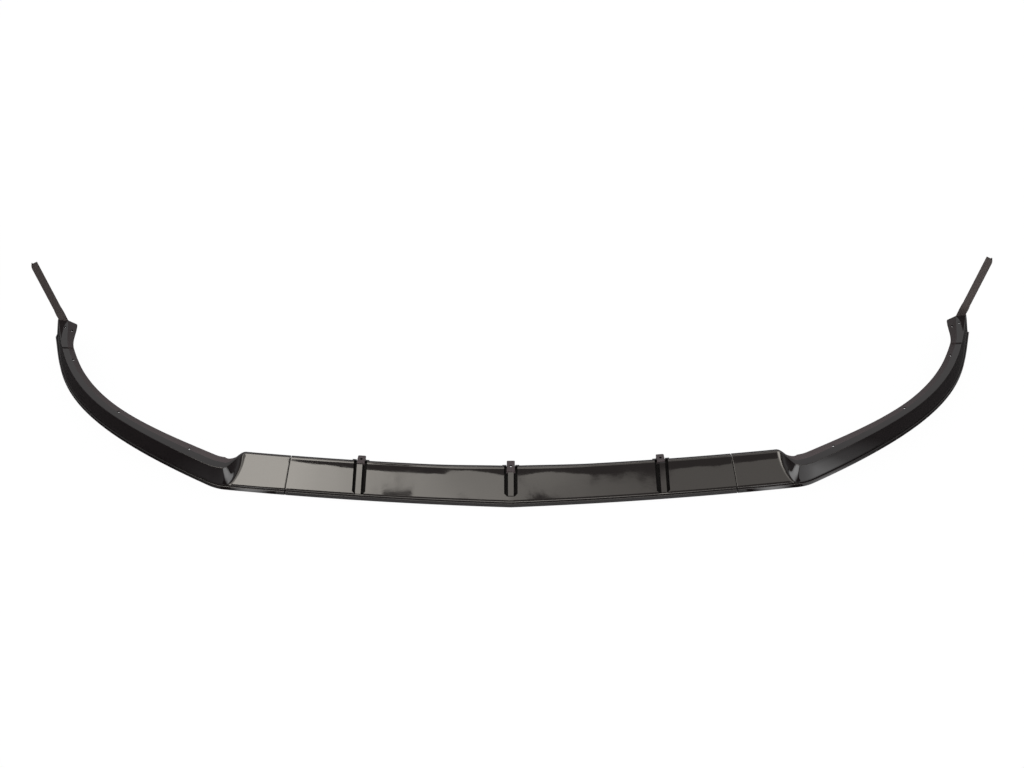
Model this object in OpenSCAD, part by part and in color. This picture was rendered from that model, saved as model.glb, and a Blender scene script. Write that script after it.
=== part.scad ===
// Front splitter lip: three moulded sections laid end to end along a curved rim.
// X is along the width, the nose points to -Y, Z is up and the rim stands on z = 0.
// Left and right are as seen by someone who stands in front of the nose.

/* [Rim outline] */
// Half of the width over the rim, at its rear ends
half_w = 877; // [860:1:900]
// Distance from the centre line to the fold corner
fold_x = 517; // [505:1:530]
// How far the nose tip leads the fold corner
nose_lead = 48.5; // [42:0.5:56]
// How far the rear end of the rim lies behind the nose tip
rear_y = 456; // [440:1:475]
// Angle of the front edge just before the fold corner
front_angle = 7.8; // [6.5:0.1:9]
// Angle of the side edge just after the fold corner
side_angle = 30.5; // [28:0.5:33]
// Angle of the rim at its rear end, where 90 points straight back
rear_angle = 74; // [70:1:78]
// Length of the curved stretch on each side of the fold corner
fold_leg = 17; // [14:1:24]
// How long the side curve holds its direction after the fold
side_pull = 356; // [330:2:370]
// How long the side curve holds its direction before the rear end
rear_pull = 119; // [105:1:135]

/* [Section] */
// Height of the top of the lip over the ground
lip_h = 51; // [46:0.5:58]
// Thickness of the moulded sheet
wall = 3; // [2.4:0.1:3.6]
// Height of the rim band at the bottom edge
rim_h = 8.5; // [7:0.5:10]
// How far the rim band stands out from the foot of the face
rim_out = 2.6; // [2:0.1:3.4]
// Depth of the groove between the rim band and the face
groove_d = 1; // [0.6:0.1:1.4]
// Width of the hem under the rim band
hem_w = 8; // [7:0.5:10]
// Radius of the rim band's own edges
rim_edge = 0.9; // [0.6:0.1:1.2]
// Radius of the top outer edge
top_edge = 1.2; // [0.8:0.1:1.6]
// Depth of the sloping face, from the rim to its top edge
face_run = 44; // [41:0.5:47]
// Depth of the sloping face at the nose
nose_run = 47.5; // [44:0.5:52]
// Distance from the nose over which its extra depth fades
nose_fade = 150; // [120:5:180]
// Width of the flange just behind the fold
flange_fold_w = 27.5; // [26:0.5:31]
// Width of the flange along the side
flange_w = 20.5; // [19:0.5:23]
// How far the top of the side wall stands in from the rim
side_lean = 2.8; // [2:0.1:4]
// The same at the rear end
rear_lean = 12; // [10:0.5:14]

/* [Scoop beside the fold] */
// Distance along the rim from the start of the scoop to the fold corner
scoop_lead = 48.2; // [44:0.1:52]
// Length along the rim over which it turns
scoop_len = 32; // [28:1:38]

/* [Seams] */
// Distance along the rim from a seam to the fold corner
seam_lead = 123.2; // [115:0.1:135]
// Width of the open seam
seam_gap = 0.9; // [0.8:0.1:2]
// How much the seam leans towards the nose as it rises, per unit of depth
seam_skew = 0.13; // [0:0.01:0.2]
// Length of the lap tongue behind each side section
tongue_len = 28; // [24:1:34]
// Thickness of the lap tongue
tongue_t = 2.6; // [2:0.1:3]
// Space between the tongue and the sheet, which the screw bosses bridge
lap_gap = 1.2; // [1:0.1:1.6]
// Free space between parts that lie on each other
clearance = 0.3; // [0.2:0.05:0.4]

/* [Joint screws] */
// Radius of the screw shank
screw_r = 1.9; // [1.6:0.1:2.2]
// Radius of the flanged screw head
screw_head_r = 5.2; // [4.6:0.1:5.6]
// Height of the screw head
screw_head_h = 2.4; // [2:0.1:3]
// Radius of the boss on the back of the side section
boss_r = 3.8; // [3.5:0.1:4.2]
// Distance of the screws from the seam
screw_inset = 14; // [12:0.5:16]

/* [Mounting tabs] */
// Distance along the rim from a side tab to the seam
tab_lead = 130; // [118:0.5:150]
// Width of a tab
tab_w = 14; // [13:0.5:16]
// Thickness of a tab
tab_t = 3; // [2.5:0.1:3.5]
// Depth of a tab, front to back
tab_len = 26; // [24:0.5:28]
// Depth of a side tab, front to back
side_tab_len = 18.5; // [17:0.5:20]
// Distance from the front end of the centre tab to its hole
tab_hole_set = 12.3; // [11.5:0.1:13.5]
// The same on a side tab
side_tab_hole_set = 9.3; // [8.5:0.1:10.5]
// How far a tab's top lies under the top of the lip
tab_drop = 2; // [1.5:0.1:3]
// Radius of the mounting holes
hole_r = 2.25; // [1.8:0.05:2.6]

/* [Recesses] */
// Width of the recess round each rib
recess_w = 23.4; // [22:0.2:25]
// Depth of the recess
recess_d = 7; // [6:0.2:8]
// Size of the cut corners at the foot of the recess
recess_cut = 5; // [4:0.2:6]
// Width of the rib that carries the tab
rib_w = 9.6; // [9:0.2:11]
// How far the rib of a side recess stands outwards from the middle of the recess
side_rib_shift = 1.2; // [0:0.1:2]
// Thickness of the wall behind the upper end of a recess
recess_back = 3; // [2.4:0.1:3.4]
// Distance from the foot of the face to the centre recess
centre_recess_foot = 10; // [8:0.5:14]
// Distance from the foot of the face to a side recess
side_recess_foot = 1.2; // [1:0.1:5]

/* [End pads] */
// Length of the end pad along the rim, from its small step to the rear end
pad_len = 87; // [80:1:95]
// Height of that step
pad_rise = 2; // [1:0.1:2.5]
// Width of the pad at its rear end, from the top of the wall
pad_w = 35; // [32:0.5:38]
// How much the step and the rear end lean towards the nose, per unit of depth
rear_skew = 0.4; // [0.3:0.01:0.5]
// How much of the pad's inner edge its slanted rear corner takes
corner_len = 13.5; // [11:0.5:16]
// How much of the pad's rear end that corner takes
corner_w = 18.5; // [16:0.5:22]
// Number of stiffening ribs on the pad's cut rear corner
tooth_count = 4; // [3:1:5]
// Thickness of those ribs
tooth_t = 1.6; // [1.2:0.1:2]

/* [Wheel-arch arms] */
// How far the arm's tip stands over the ground
arm_top = 151; // [140:1:165]
// Width of the arm
arm_w = 14.4; // [12.6:0.2:15]
// Thickness of the arm
arm_t = 3; // [2.6:0.1:3.6]
// How far the arm's tip stands out from its root
arm_out = 50; // [45:1:55]
// How far the arm's tip stands behind its root
arm_back = 52; // [47:1:57]

/* [Flange holes] */
// Distance along the rim from the fold corner to the front hole of a side flange
front_hole_lag = 65.8; // [58:0.2:75]
// Distance from the rear hole of the flange to the step of the end pad
rear_hole_lead = 43; // [36:0.5:56]
// Share of the way from the front hole to the rear one at which the middle hole stands
middle_hole_share = 0.47; // [0.42:0.01:0.55]
// Distance along the rim from the inner pad hole to the rear end
pad_hole_lead_1 = 33; // [30:0.5:36]
// The same for the outer pad hole
pad_hole_lead_2 = 24; // [21:0.5:26]
// Distance from the rim to the inner pad hole
pad_hole_u1 = 35; // [33:0.5:37]
// Distance from the rim to the outer pad hole
pad_hole_u2 = 23.5; // [22:0.5:25]

/* [Hidden] */
$fn = 48;

GLOSS = [0.09, 0.085, 0.09];
SATIN = [0.45, 0.45, 0.46];

function dir(a) = [cos(a), sin(a)];
function blend(a, b, x) = let (t = max(0, min(1, (x - a) / (b - a)))) t * t * (3 - 2 * t);
function mix(a, b, t) = a + (b - a) * t;
function turn_left(v) = [-v[1], v[0]];
function unit(v) = v / norm(v);

// Rim outline, right half: a front curve, a tight fold and a long side curve.
FOLD = [fold_x, nose_lead];
FRONT_END = FOLD - fold_leg * dir(front_angle);
FRONT_MID = FRONT_END - norm(FRONT_END) / 2 * dir(front_angle);
SIDE_START = FOLD + fold_leg * dir(side_angle);
SIDE_A = SIDE_START + side_pull * dir(side_angle);
SIDE_END = [half_w, rear_y];
SIDE_B = SIDE_END - rear_pull * dir(rear_angle);

function curve2(a, b, c, t) = (1 - t) * (1 - t) * a + 2 * t * (1 - t) * b + t * t * c;
function slope2(a, b, c, t) = (1 - t) * (b - a) + t * (c - b);
function curve3(a, b, c, d, t) = (1 - t) * curve2(a, b, c, t) + t * curve2(b, c, d, t);
function slope3(a, b, c, d, t) = curve2(b, c, d, t) - curve2(a, b, c, t);

// Point and direction of the outline at q, which runs from 0 at the nose to 3 at the rear.
function outline(q) =
    q <= 1 ? curve2([0, 0], FRONT_MID, FRONT_END, q)
    : q <= 2 ? curve2(FRONT_END, FOLD, SIDE_START, q - 1)
    : curve3(SIDE_START, SIDE_A, SIDE_B, SIDE_END, q - 2);
function heading(q) = unit(
    q <= 1 ? slope2([0, 0], FRONT_MID, FRONT_END, q)
    : q <= 2 ? slope2(FRONT_END, FOLD, SIDE_START, q - 1)
    : slope3(SIDE_START, SIDE_A, SIDE_B, SIDE_END, q - 2));

// Distance along the outline against q, so that places are given in millimetres of rim.
Q_STEP = 1 / 48;
function step_len(q) = norm(outline(q + Q_STEP) - outline(q));
RULER = [for (q = 0, s = 0; q <= 3 + Q_STEP / 2; s = s + step_len(q), q = q + Q_STEP) [s, min(q, 3)]];
RIM_LEN = RULER[len(RULER) - 1][0];
function q_at(s) = lookup(abs(s), RULER);

// Places along the rim, from the fold corner forwards and from the rear end forwards.
FOLD_S = RULER[round(1.5 / Q_STEP)][0];
scoop_start = FOLD_S - scoop_lead;
seam_s = FOLD_S - seam_lead;
tab_s = seam_s - tab_lead;
pad_step_s = RIM_LEN - pad_len;
flange_front_s = FOLD_S + front_hole_lag;
flange_rear_s = pad_step_s - rear_hole_lead;
flange_middle_s = mix(flange_front_s, flange_rear_s, middle_hole_share);
STEP_HALF = 0.4;
function side_of(s) = s < 0 ? -1 : 1;
function rim_at(s) = let (p = outline(q_at(s))) [side_of(s) * p[0], p[1]];
function along(s) = let (h = heading(q_at(s))) s == 0 ? [1, 0] : [h[0], side_of(s) * h[1]];
function inward(s) = turn_left(along(s));

// Shape of the section at a place along the rim; v runs from 0 at the foot of the face to 1
// at its top. The scoop is a bowl: it is widest at the top and closes towards the foot.
FOOT_Z = rim_h + 1.6;
FOOT_U = rim_out + 0.5;
SCOOP_END = scoop_start + scoop_len;
SCOOP_CLOSE = 20;
// Place where the wall starts to lean and where the flange has become narrow.
LEAN_SHARE = 0.505;
LEAN_START = mix(FOLD_S, pad_step_s, LEAN_SHARE);
FLANGE_LAG = 4;
function scoop(s, v) = blend(scoop_start + SCOOP_CLOSE * (1 - v) * (1 - v), SCOOP_END, abs(s));
function run_at(s) = mix(nose_run, face_run, blend(0, nose_fade, abs(s)));
function lean_at(s) = mix(side_lean, rear_lean, blend(LEAN_START, pad_step_s, abs(s)));
function face_u(s, v) = mix(FOOT_U, mix(run_at(s), lean_at(s), scoop(s, v)), v);
function top_u(s) = face_u(s, 1);
function top_z(s) = lip_h + pad_rise * blend(pad_step_s - STEP_HALF, pad_step_s + STEP_HALF, abs(s));
function flange_at(s) =
    mix(mix(flange_fold_w, flange_w, blend(SCOOP_END, LEAN_START, abs(s))), pad_w, blend(pad_step_s, RIM_LEN, abs(s)))
    * blend(scoop_start + FLANGE_LAG, SCOOP_END + FLANGE_LAG, abs(s));
function top_slope(s) = (top_u(s + 0.5) - top_u(s - 0.5));
// Sheet thickness measured level with the ground, for a sheet of the given thickness.
function level_t(s, t) =
    t * sqrt(1 + pow((top_u(s) - FOOT_U) / (top_z(s) - FOOT_Z), 2) + pow(top_slope(s), 2));
function inner_u(s) = top_u(s) + max(level_t(s, wall), flange_at(s));
// The section leans along the rim beside the seam and at the rear end.
SKEW_FADE = 70;
SKEW_LEAD = 96;
function skew(s) =
    seam_skew * (1 - blend(0, SKEW_FADE, abs(abs(s) - seam_s)))
    + rear_skew * blend(pad_step_s - SKEW_LEAD, pad_step_s, abs(s));
function face_z(s, v) = mix(FOOT_Z, top_z(s), v);

// A point at depth u behind the rim and height z.
function place(s, u, z) =
    let (p = rim_at(s) + u * inward(s) - side_of(s) * skew(s) * u * along(s)) [p[0], p[1], z];

// Closed section of the moulded sheet: rim band, groove, face or wall, flange and inner side.
FACE_V = [0.14, 0.28, 0.42, 0.56, 0.7, 0.84];
BACK_V = [0.68, 0.44, 0.2];
function sheet_section(s) =
    let (
        tu = top_u(s),
        tz = top_z(s),
        iu = inner_u(s),
        lt = level_t(s, wall),
        up = unit([tu - FOOT_U, tz - FOOT_Z]),
        lower = [tu, tz] - top_edge * up,
        upper = [tu + top_edge, tz],
        under_v = 1 - wall / (tz - FOOT_Z),
        edge_t = min(wall, 1 + flange_at(s)))
    [
        [rim_edge, 0],
        [0, rim_edge],
        [0, rim_h - rim_edge],
        [rim_edge * 0.3, rim_h - rim_edge * 0.3],
        [rim_edge, rim_h],
        [rim_out - 0.7, rim_h],
        [rim_out - 0.2, rim_h - groove_d],
        [rim_out + 0.2, rim_h],
        [FOOT_U, FOOT_Z],
        each [for (v = FACE_V) [face_u(s, v), face_z(s, v)]],
        lower,
        (lower + [tu, tz] * 2 + upper) / 4,
        upper,
        [iu, tz],
        [iu, tz - edge_t],
        [face_u(s, under_v) + lt, tz - wall],
        each [for (v = BACK_V) [face_u(s, v) + lt, face_z(s, v)]],
        [max(FOOT_U + lt, hem_w), rim_h],
        [hem_w, 0]
    ];

// The end face of the sheet, split into convex pieces: rim, groove and the strip of the wall.
SHEET_ENDS = [
    [0, 1, 2, 25], [2, 3, 4, 5, 6], [2, 6, 25], [6, 24, 25], [6, 7, 24], [7, 8, 24], [8, 9, 24],
    [9, 10, 23, 24], [10, 11, 23], [11, 12, 22, 23], [12, 13, 22], [13, 14, 21, 22], [14, 15, 20, 21],
    [15, 16, 20], [16, 17, 20], [17, 18, 19, 20]];

function sheet_ring(s) = [for (p = sheet_section(s)) place(s, p[0], p[1])];

// Skin over a row of rings that all have the same number of points.
module skin(rings, ends = undef) {
    n = len(rings[0]);
    split = is_undef(ends) ? [[for (j = [0:n - 1]) j]] : ends;
    last = len(rings) - 1;
    points = [for (ring = rings) each ring];
    sides = [for (i = [0:last - 1], j = [0:n - 1])
        let (a = i * n + j, b = i * n + (j + 1) % n) each [[a, b, b + n], [a, b + n, a + n]]];
    caps = [for (f = split) each [backward(f), [for (j = f) last * n + j]]];
    polyhedron(points = points, faces = concat(sides, caps), convexity = 12);
}

function spread(a, b, pitch) = let (n = max(1, round((b - a) / pitch))) [for (i = [0:n]) mix(a, b, i / n)];
function past_first(list) = [for (i = [1:len(list) - 1]) list[i]];
function backward(list) = [for (i = [len(list) - 1:-1:0]) list[i]];

// Stations of the centre section, from the left seam to the right one.
CENTRE_PITCH = 30;
NOSE_STATIONS = [0, 3, 12];
CENTRE_END = seam_s - seam_gap / 2;
CENTRE_HALF = concat(NOSE_STATIONS, past_first(spread(NOSE_STATIONS[2], CENTRE_END, CENTRE_PITCH)));
CENTRE_STATIONS = concat([for (s = backward(past_first(CENTRE_HALF))) -s], CENTRE_HALF);

// Stations of a side section, from its seam to its rear end.
SEAM_PITCH = 16;
SCOOP_PITCH = 3;
FOLD_PITCH = 6;
SIDE_PITCH = 13;
PAD_PITCH = 12;
SCOOP_FIRST = scoop_start - SCOOP_PITCH;
SCOOP_LAST = SCOOP_END + 2 * SCOOP_PITCH;
FOLD_PASSED = SCOOP_LAST + 6 * FOLD_PITCH;
SIDE_FIRST = seam_s + seam_gap / 2;
SIDE_STATIONS = concat(
    spread(SIDE_FIRST, SCOOP_FIRST, SEAM_PITCH),
    past_first(spread(SCOOP_FIRST, SCOOP_LAST, SCOOP_PITCH)),
    past_first(spread(SCOOP_LAST, FOLD_PASSED, FOLD_PITCH)),
    past_first(spread(FOLD_PASSED, pad_step_s - STEP_HALF, SIDE_PITCH)),
    [pad_step_s + STEP_HALF],
    past_first(spread(pad_step_s + STEP_HALF, RIM_LEN, PAD_PITCH)));

// Frame on the sloping face: X along the rim, Y up the face, Z out of the face.
function face_angle(s) = atan2(lip_h - FOOT_Z, run_at(s) - FOOT_U);
function face_len(s) = norm([lip_h - FOOT_Z, run_at(s) - FOOT_U]);
module on_rim(s) {
    p = rim_at(s);
    t = along(s);
    translate([p[0], p[1], 0]) rotate([0, 0, atan2(t[1], t[0])]) children();
}
module on_face(s) {
    on_rim(s) translate([0, FOOT_U, FOOT_Z]) rotate([face_angle(s), 0, 0]) children();
}

// Recess outline with cut lower corners; grow widens it all round.
module recess_outline(foot, top, grow) {
    h = recess_w / 2 + grow;
    low = foot - grow;
    c = recess_cut + grow * 0.4;
    polygon([[-h + c, low], [h - c, low], [h, low + c], [h, top], [-h, top], [-h, low + c]]);
}

// Keeps what lies under the top of the lip and not far behind the top edge of the face.
TRAY_REACH = 6.5;
module behind_face(s, drop) {
    intersection() {
        children();
        translate([-recess_w, 0, 0]) cube([2 * recess_w, run_at(s) + TRAY_REACH, lip_h - drop]);
    }
}
module on_slope(s) {
    translate([0, FOOT_U, FOOT_Z]) rotate([face_angle(s), 0, 0]) children();
}

// Tray behind the face that closes the recess; it starts inside the sheet.
TRAY_DROP = 0.4;
TRAY_SET = 2;
module recess_tray(s, foot) {
    on_rim(s) behind_face(s, TRAY_DROP) on_slope(s)
        translate([0, 0, -TRAY_BACK]) linear_extrude(TRAY_BACK - TRAY_SET)
        recess_outline(foot, 2 * face_len(s), wall);
}

// What is cut out in front of the tray: it stops at an upright wall behind the upper end of the
// recess, except round the tab, which passes through a notch in that wall.
NOTCH_PLAY = 0.5;
module recess_cavity(s, foot) {
    reach = run_at(s) + TRAY_REACH;
    on_rim(s) intersection() {
        on_slope(s) translate([0, 0, -recess_d]) linear_extrude(3 * recess_d) recess_outline(foot, 2 * face_len(s), 0);
        translate([-recess_w, -face_run, 0]) cube([2 * recess_w, face_run + reach - recess_back, 3 * lip_h]);
    }
    on_rim(s) translate([-tab_w / 2 - NOTCH_PLAY, run_at(s), TAB_Z - tab_t / 2])
        cube([tab_w + 2 * NOTCH_PLAY, 2 * TRAY_REACH, lip_h]);
}

// Rib that stands in the recess, cored from behind, with the tab on its upper end.
TAB_Z = lip_h - tab_drop;
RIB_DROP = 0.6;
RIB_FOOT = 1.2;
RIB_SINK = 1;
RIB_WALL = 2.6;
RIB_ROOF = 4.4;
CORE_FOOT = 5;
CORE_TOP = 24;
TRAY_BACK = recess_d + wall;
module recess_rib(s, foot, shift) {
    on_rim(s) behind_face(s, tab_drop + tab_t / 2) on_slope(s)
        translate([shift - rib_w / 2, foot + RIB_FOOT, -recess_d - RIB_SINK])
        cube([rib_w, face_len(s), recess_d + RIB_SINK - RIB_DROP]);
}
module rib_core(s, foot, shift) {
    core_w = rib_w - 2 * RIB_WALL;
    on_face(s) translate([shift - core_w / 2, foot + CORE_FOOT, -2 * TRAY_BACK])
        cube([core_w, face_len(s) - foot - CORE_TOP, 2 * TRAY_BACK - RIB_DROP - RIB_ROOF]);
}

// Tab: a level plate with a hole, on a short block with flared cheeks.
CORNER = 2;
BLOCK_SET = 1;
BLOCK_LEN = 12;
BLOCK_H = 7;
BLOCK_FLARE = 1;
BLOCK_DROP = 0.6;
module tab(s, front, length) {
    half = tab_w / 2;
    on_rim(s) {
        translate([0, front, TAB_Z - tab_t]) linear_extrude(tab_t) plate_outline(half, length);
        translate([0, front + BLOCK_SET + BLOCK_LEN, 0]) rotate([90, 0, 0]) linear_extrude(BLOCK_LEN)
            polygon([
                [-half - BLOCK_FLARE, TAB_Z - BLOCK_H], [half + BLOCK_FLARE, TAB_Z - BLOCK_H],
                [half, TAB_Z - BLOCK_DROP], [-half, TAB_Z - BLOCK_DROP]]);
    }
}
module tab_hole(s, place) {
    on_rim(s) translate([0, place, TAB_Z - 3 * BLOCK_H]) cylinder(r = hole_r, h = 4 * BLOCK_H);
}
module plate_outline(half, length) {
    far = [half - CORNER, length - CORNER];
    centres = [far, [-far[0], far[1]], [-far[0], CORNER], [far[0], CORNER]];
    polygon([for (i = [0:3], a = [0:22.5:90]) centres[i] + CORNER * dir(90 * i + a)]);
}
CENTRE_TAB_FRONT = nose_run - 7;
SIDE_TAB_FRONT = face_run;

// Lap tongue: a plate behind both sheets, on a root that starts inside the centre section's sheet
// and stops short of the slanted seam.
TONGUE_LOW = 6;
TONGUE_HIGH = 56;
TONGUE_ROOT = 20;
SHOULDER = 2;
ROOT_INSET = 1;
module tongue() {
    low = TONGUE_LOW + ROOT_INSET;
    high = TONGUE_HIGH - ROOT_INSET;
    start = ROOT_INSET - TONGUE_ROOT;
    function edge(y) = [-SHOULDER - seam_skew * (FOOT_U + y * cos(face_angle(seam_s))), y];
    on_face(seam_s) {
        translate([-TONGUE_ROOT, TONGUE_LOW, -BOSS_TOP])
            cube([TONGUE_ROOT + tongue_len, TONGUE_HIGH - TONGUE_LOW, tongue_t]);
        translate([0, 0, -BOSS_TOP + tongue_t / 2]) linear_extrude(BOSS_TOP - tongue_t / 2 - wall / 2)
            polygon([[start, low], edge(low), edge(high), [start, high]]);
    }
}

// Screws of the lap joint: places up the face, and a frame at the back of the sheet.
SCREW_V = [0.28, 0.7];
module at_screws() {
    for (v = SCREW_V) on_face(seam_s) translate([screw_inset, v * face_len(seam_s), 0]) children();
}
BOSS_TOP = wall + lap_gap + tongue_t;
BOSS_BASE_R = boss_r + 1.8;
PILOT_FLOOR = 2;
HEAD_FLANGE_H = 1;
DRIVE_L = 4.8;
DRIVE_W = 1;
DRIVE_D = 1.2;
HEAD_CROWN = 0.7;
THREAD_PLAY = 0.1;
TIP_PLAY = 0.4;
module screw() {
    translate([0, 0, -BOSS_TOP]) difference() {
        union() {
            translate([0, 0, -HEAD_FLANGE_H]) cylinder(r = screw_head_r, h = HEAD_FLANGE_H);
            translate([0, 0, -screw_head_h]) cylinder(r = screw_head_r * HEAD_CROWN, h = screw_head_h);
            translate([0, 0, -HEAD_FLANGE_H])
                cylinder(r = screw_r - THREAD_PLAY, h = HEAD_FLANGE_H + BOSS_TOP - PILOT_FLOOR - TIP_PLAY);
        }
        for (a = [0, 90]) rotate([0, 0, a])
            translate([-DRIVE_L / 2, -DRIVE_W / 2, -screw_head_h - 1]) cube([DRIVE_L, DRIVE_W, DRIVE_D + 1]);
    }
}

module both_sides() {
    children();
    mirror([1, 0, 0]) children();
}

// Flat rear corner of the end pad, cut at a slant, with small upright ribs along the cut.
CORNER_SET = 1;
PAD_EDGE_U = rear_lean + pad_w;
CUT_OUTER = place(RIM_LEN - CORNER_SET, PAD_EDGE_U - corner_w, 0);
CUT_INNER = place(RIM_LEN - corner_len, PAD_EDGE_U, 0);
CUT_SPAN = norm(CUT_INNER - CUT_OUTER);
CUT_ANGLE = atan2(CUT_INNER[1] - CUT_OUTER[1], CUT_INNER[0] - CUT_OUTER[0]);
PAD_Z = lip_h + pad_rise;
TOOTH_LEN = 6;
TOOTH_DROP = 2;
module at_cut() {
    translate([CUT_OUTER[0], CUT_OUTER[1], PAD_Z]) rotate([0, 0, CUT_ANGLE]) children();
}
module corner_cut() {
    at_cut() translate([0, -3 * CUT_SPAN, -3 * wall]) cube([3 * CUT_SPAN, 3 * CUT_SPAN, 6 * wall]);
}
module corner_teeth() {
    pitch = CUT_SPAN / (tooth_count + 0.5);
    for (i = [1:tooth_count])
        at_cut() translate([pitch * (i - 0.25) - tooth_t / 2, 0, -wall - TOOTH_DROP])
            cube([tooth_t, TOOTH_LEN, wall + 1]);
}

// Arm that follows the wheel arch: it rises across the rear end, then turns its face forward.
ARM_ROOT = place(RIM_LEN - 2, rear_lean + 10, 0);
ARM_RISE = arm_top - PAD_Z;
ARM_SET = 0.02;
ARM_TWIST_END = 0.2;
ARM_BEVEL = 0.6;
ROOT_WIDE = [-0.99, -0.13, 0];
TIP_WIDE = unit([-0.87, 0.45, 0.2]);
function arm_wide(t) = unit(mix(ROOT_WIDE, TIP_WIDE, blend(0, ARM_TWIST_END, t)));
function arm_mid(t) = [ARM_ROOT[0] + arm_out * t, ARM_ROOT[1] + arm_back * t, PAD_Z + ARM_RISE * t];
ARM_RUN = unit([arm_out, arm_back, ARM_RISE]);
function arm_ring(t, outer, inner) =
    let (
        w = arm_wide(t),
        n = unit(cross(ARM_RUN, w)),
        m = arm_mid(t),
        h = arm_t / 2,
        c = ARM_BEVEL)
    [
        m - w * outer + n * (h - c),
        m - w * (outer - c) + n * h,
        m + w * (inner - c) + n * h,
        m + w * inner + n * (h - c),
        m + w * inner - n * (h - c),
        m + w * (inner - c) - n * h,
        m - w * (outer - c) - n * h,
        m - w * outer - n * (h - c)
    ];
ARM_HALF = arm_w / 2;
ARM_ROOT_HALF = ARM_HALF + 2;
ARM_FLARED = concat(
    [arm_ring(-ARM_SET, ARM_ROOT_HALF, ARM_ROOT_HALF)],
    [for (t = spread(0, ARM_TWIST_END, 0.04))
        let (w = mix(ARM_ROOT_HALF, ARM_HALF, t / ARM_TWIST_END)) arm_ring(t, w, w)]);
ARM_STRAIGHT = [for (t = [0.35, 0.5, 0.65, 0.8, 0.92]) arm_ring(t, ARM_HALF, ARM_HALF)];
ARM_TIP = [for (e = [[0.95, 0.8], [0.975, 2.2], [0.985, 3.4]]) arm_ring(e[0], ARM_HALF - e[1], ARM_HALF)];
module arm() {
    skin(concat(ARM_FLARED, ARM_STRAIGHT, ARM_TIP));
    skin([arm_ring(0.97, ARM_HALF - 2.5, 6 - ARM_HALF), arm_ring(1, ARM_HALF - 3.8, 5.6 - ARM_HALF)]);
}

// The whole lip is centred front to back on its bounding box; the arm's tip lies farthest back.
MID_Y = max([for (ring = ARM_TIP, p = ring) p[1]]) / 2;
module centred() {
    translate([0, -MID_Y, 0]) children();
}

module side_section() {
    difference() {
        union() {
            skin([for (s = SIDE_STATIONS) sheet_ring(s)], SHEET_ENDS);
            at_screws() {
                translate([0, 0, -BOSS_TOP]) cylinder(r = boss_r, h = BOSS_TOP - wall / 2);
                translate([0, 0, -wall - lap_gap]) cylinder(r = BOSS_BASE_R, h = lap_gap + wall / 2);
            }
        }
        at_screws() translate([0, 0, -BOSS_TOP - 1]) cylinder(r = screw_r, h = BOSS_TOP + 1 - PILOT_FLOOR);
        corner_cut();
        for (s = [flange_front_s, flange_middle_s, flange_rear_s])
            flange_hole(s, top_u(s) + HOLE_SET + flange_at(s) / 2);
        flange_hole(RIM_LEN - pad_hole_lead_1, pad_hole_u1);
        flange_hole(RIM_LEN - pad_hole_lead_2, pad_hole_u2);
    }
    corner_teeth();
    arm();
}
HOLE_SET = 2.5;
module flange_hole(s, u) {
    p = place(s, u, lip_h - 4 * wall);
    translate(p) cylinder(r = hole_r, h = 8 * wall);
}

module centre_sheet() {
    difference() {
        union() {
            skin([for (s = CENTRE_STATIONS) sheet_ring(s)], SHEET_ENDS);
            recess_tray(0, centre_recess_foot);
            both_sides() recess_tray(tab_s, side_recess_foot);
        }
        recess_cavity(0, centre_recess_foot);
        both_sides() recess_cavity(tab_s, side_recess_foot);
        rib_core(0, centre_recess_foot, 0);
        both_sides() rib_core(tab_s, side_recess_foot, side_rib_shift);
    }
}
module recess_ribs() {
    difference() {
        recess_rib(0, centre_recess_foot, 0);
        rib_core(0, centre_recess_foot, 0);
    }
    both_sides() difference() {
        recess_rib(tab_s, side_recess_foot, side_rib_shift);
        rib_core(tab_s, side_recess_foot, side_rib_shift);
    }
}

module centre_section() {
    color(GLOSS) centred() {
        difference() {
            union() {
                centre_sheet();
                recess_ribs();
                tab(0, CENTRE_TAB_FRONT, tab_len);
                both_sides() tab(tab_s, SIDE_TAB_FRONT, side_tab_len);
            }
            tab_hole(0, CENTRE_TAB_FRONT + tab_hole_set);
            both_sides() tab_hole(tab_s, SIDE_TAB_FRONT + side_tab_hole_set);
        }
        both_sides() difference() {
            tongue();
            at_screws() translate([0, 0, -BOSS_TOP - 1]) cylinder(r = boss_r + clearance, h = BOSS_TOP);
        }
    }
}

module side_section_right() {
    color(GLOSS) centred() side_section();
}

module side_section_left() {
    color(GLOSS) centred() mirror([1, 0, 0]) side_section();
}

module joint_screws() {
    color(SATIN) centred() both_sides() at_screws() screw();
}

centre_section();
side_section_left();
side_section_right();
joint_screws();
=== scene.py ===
"""Gloss-black front splitter lip in a plain white studio.

The three mouldings are worked out again here as fine surfaces with the source's own sizes, so
that the gloss runs smoothly over them. The joint screws are the CAD's own. Lengths are in
millimetres with the nose tip at y = 0, until Workshop.make turns them into the frame's metres.
"""

import logging
import math
from dataclasses import dataclass
from enum import Enum

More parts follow.
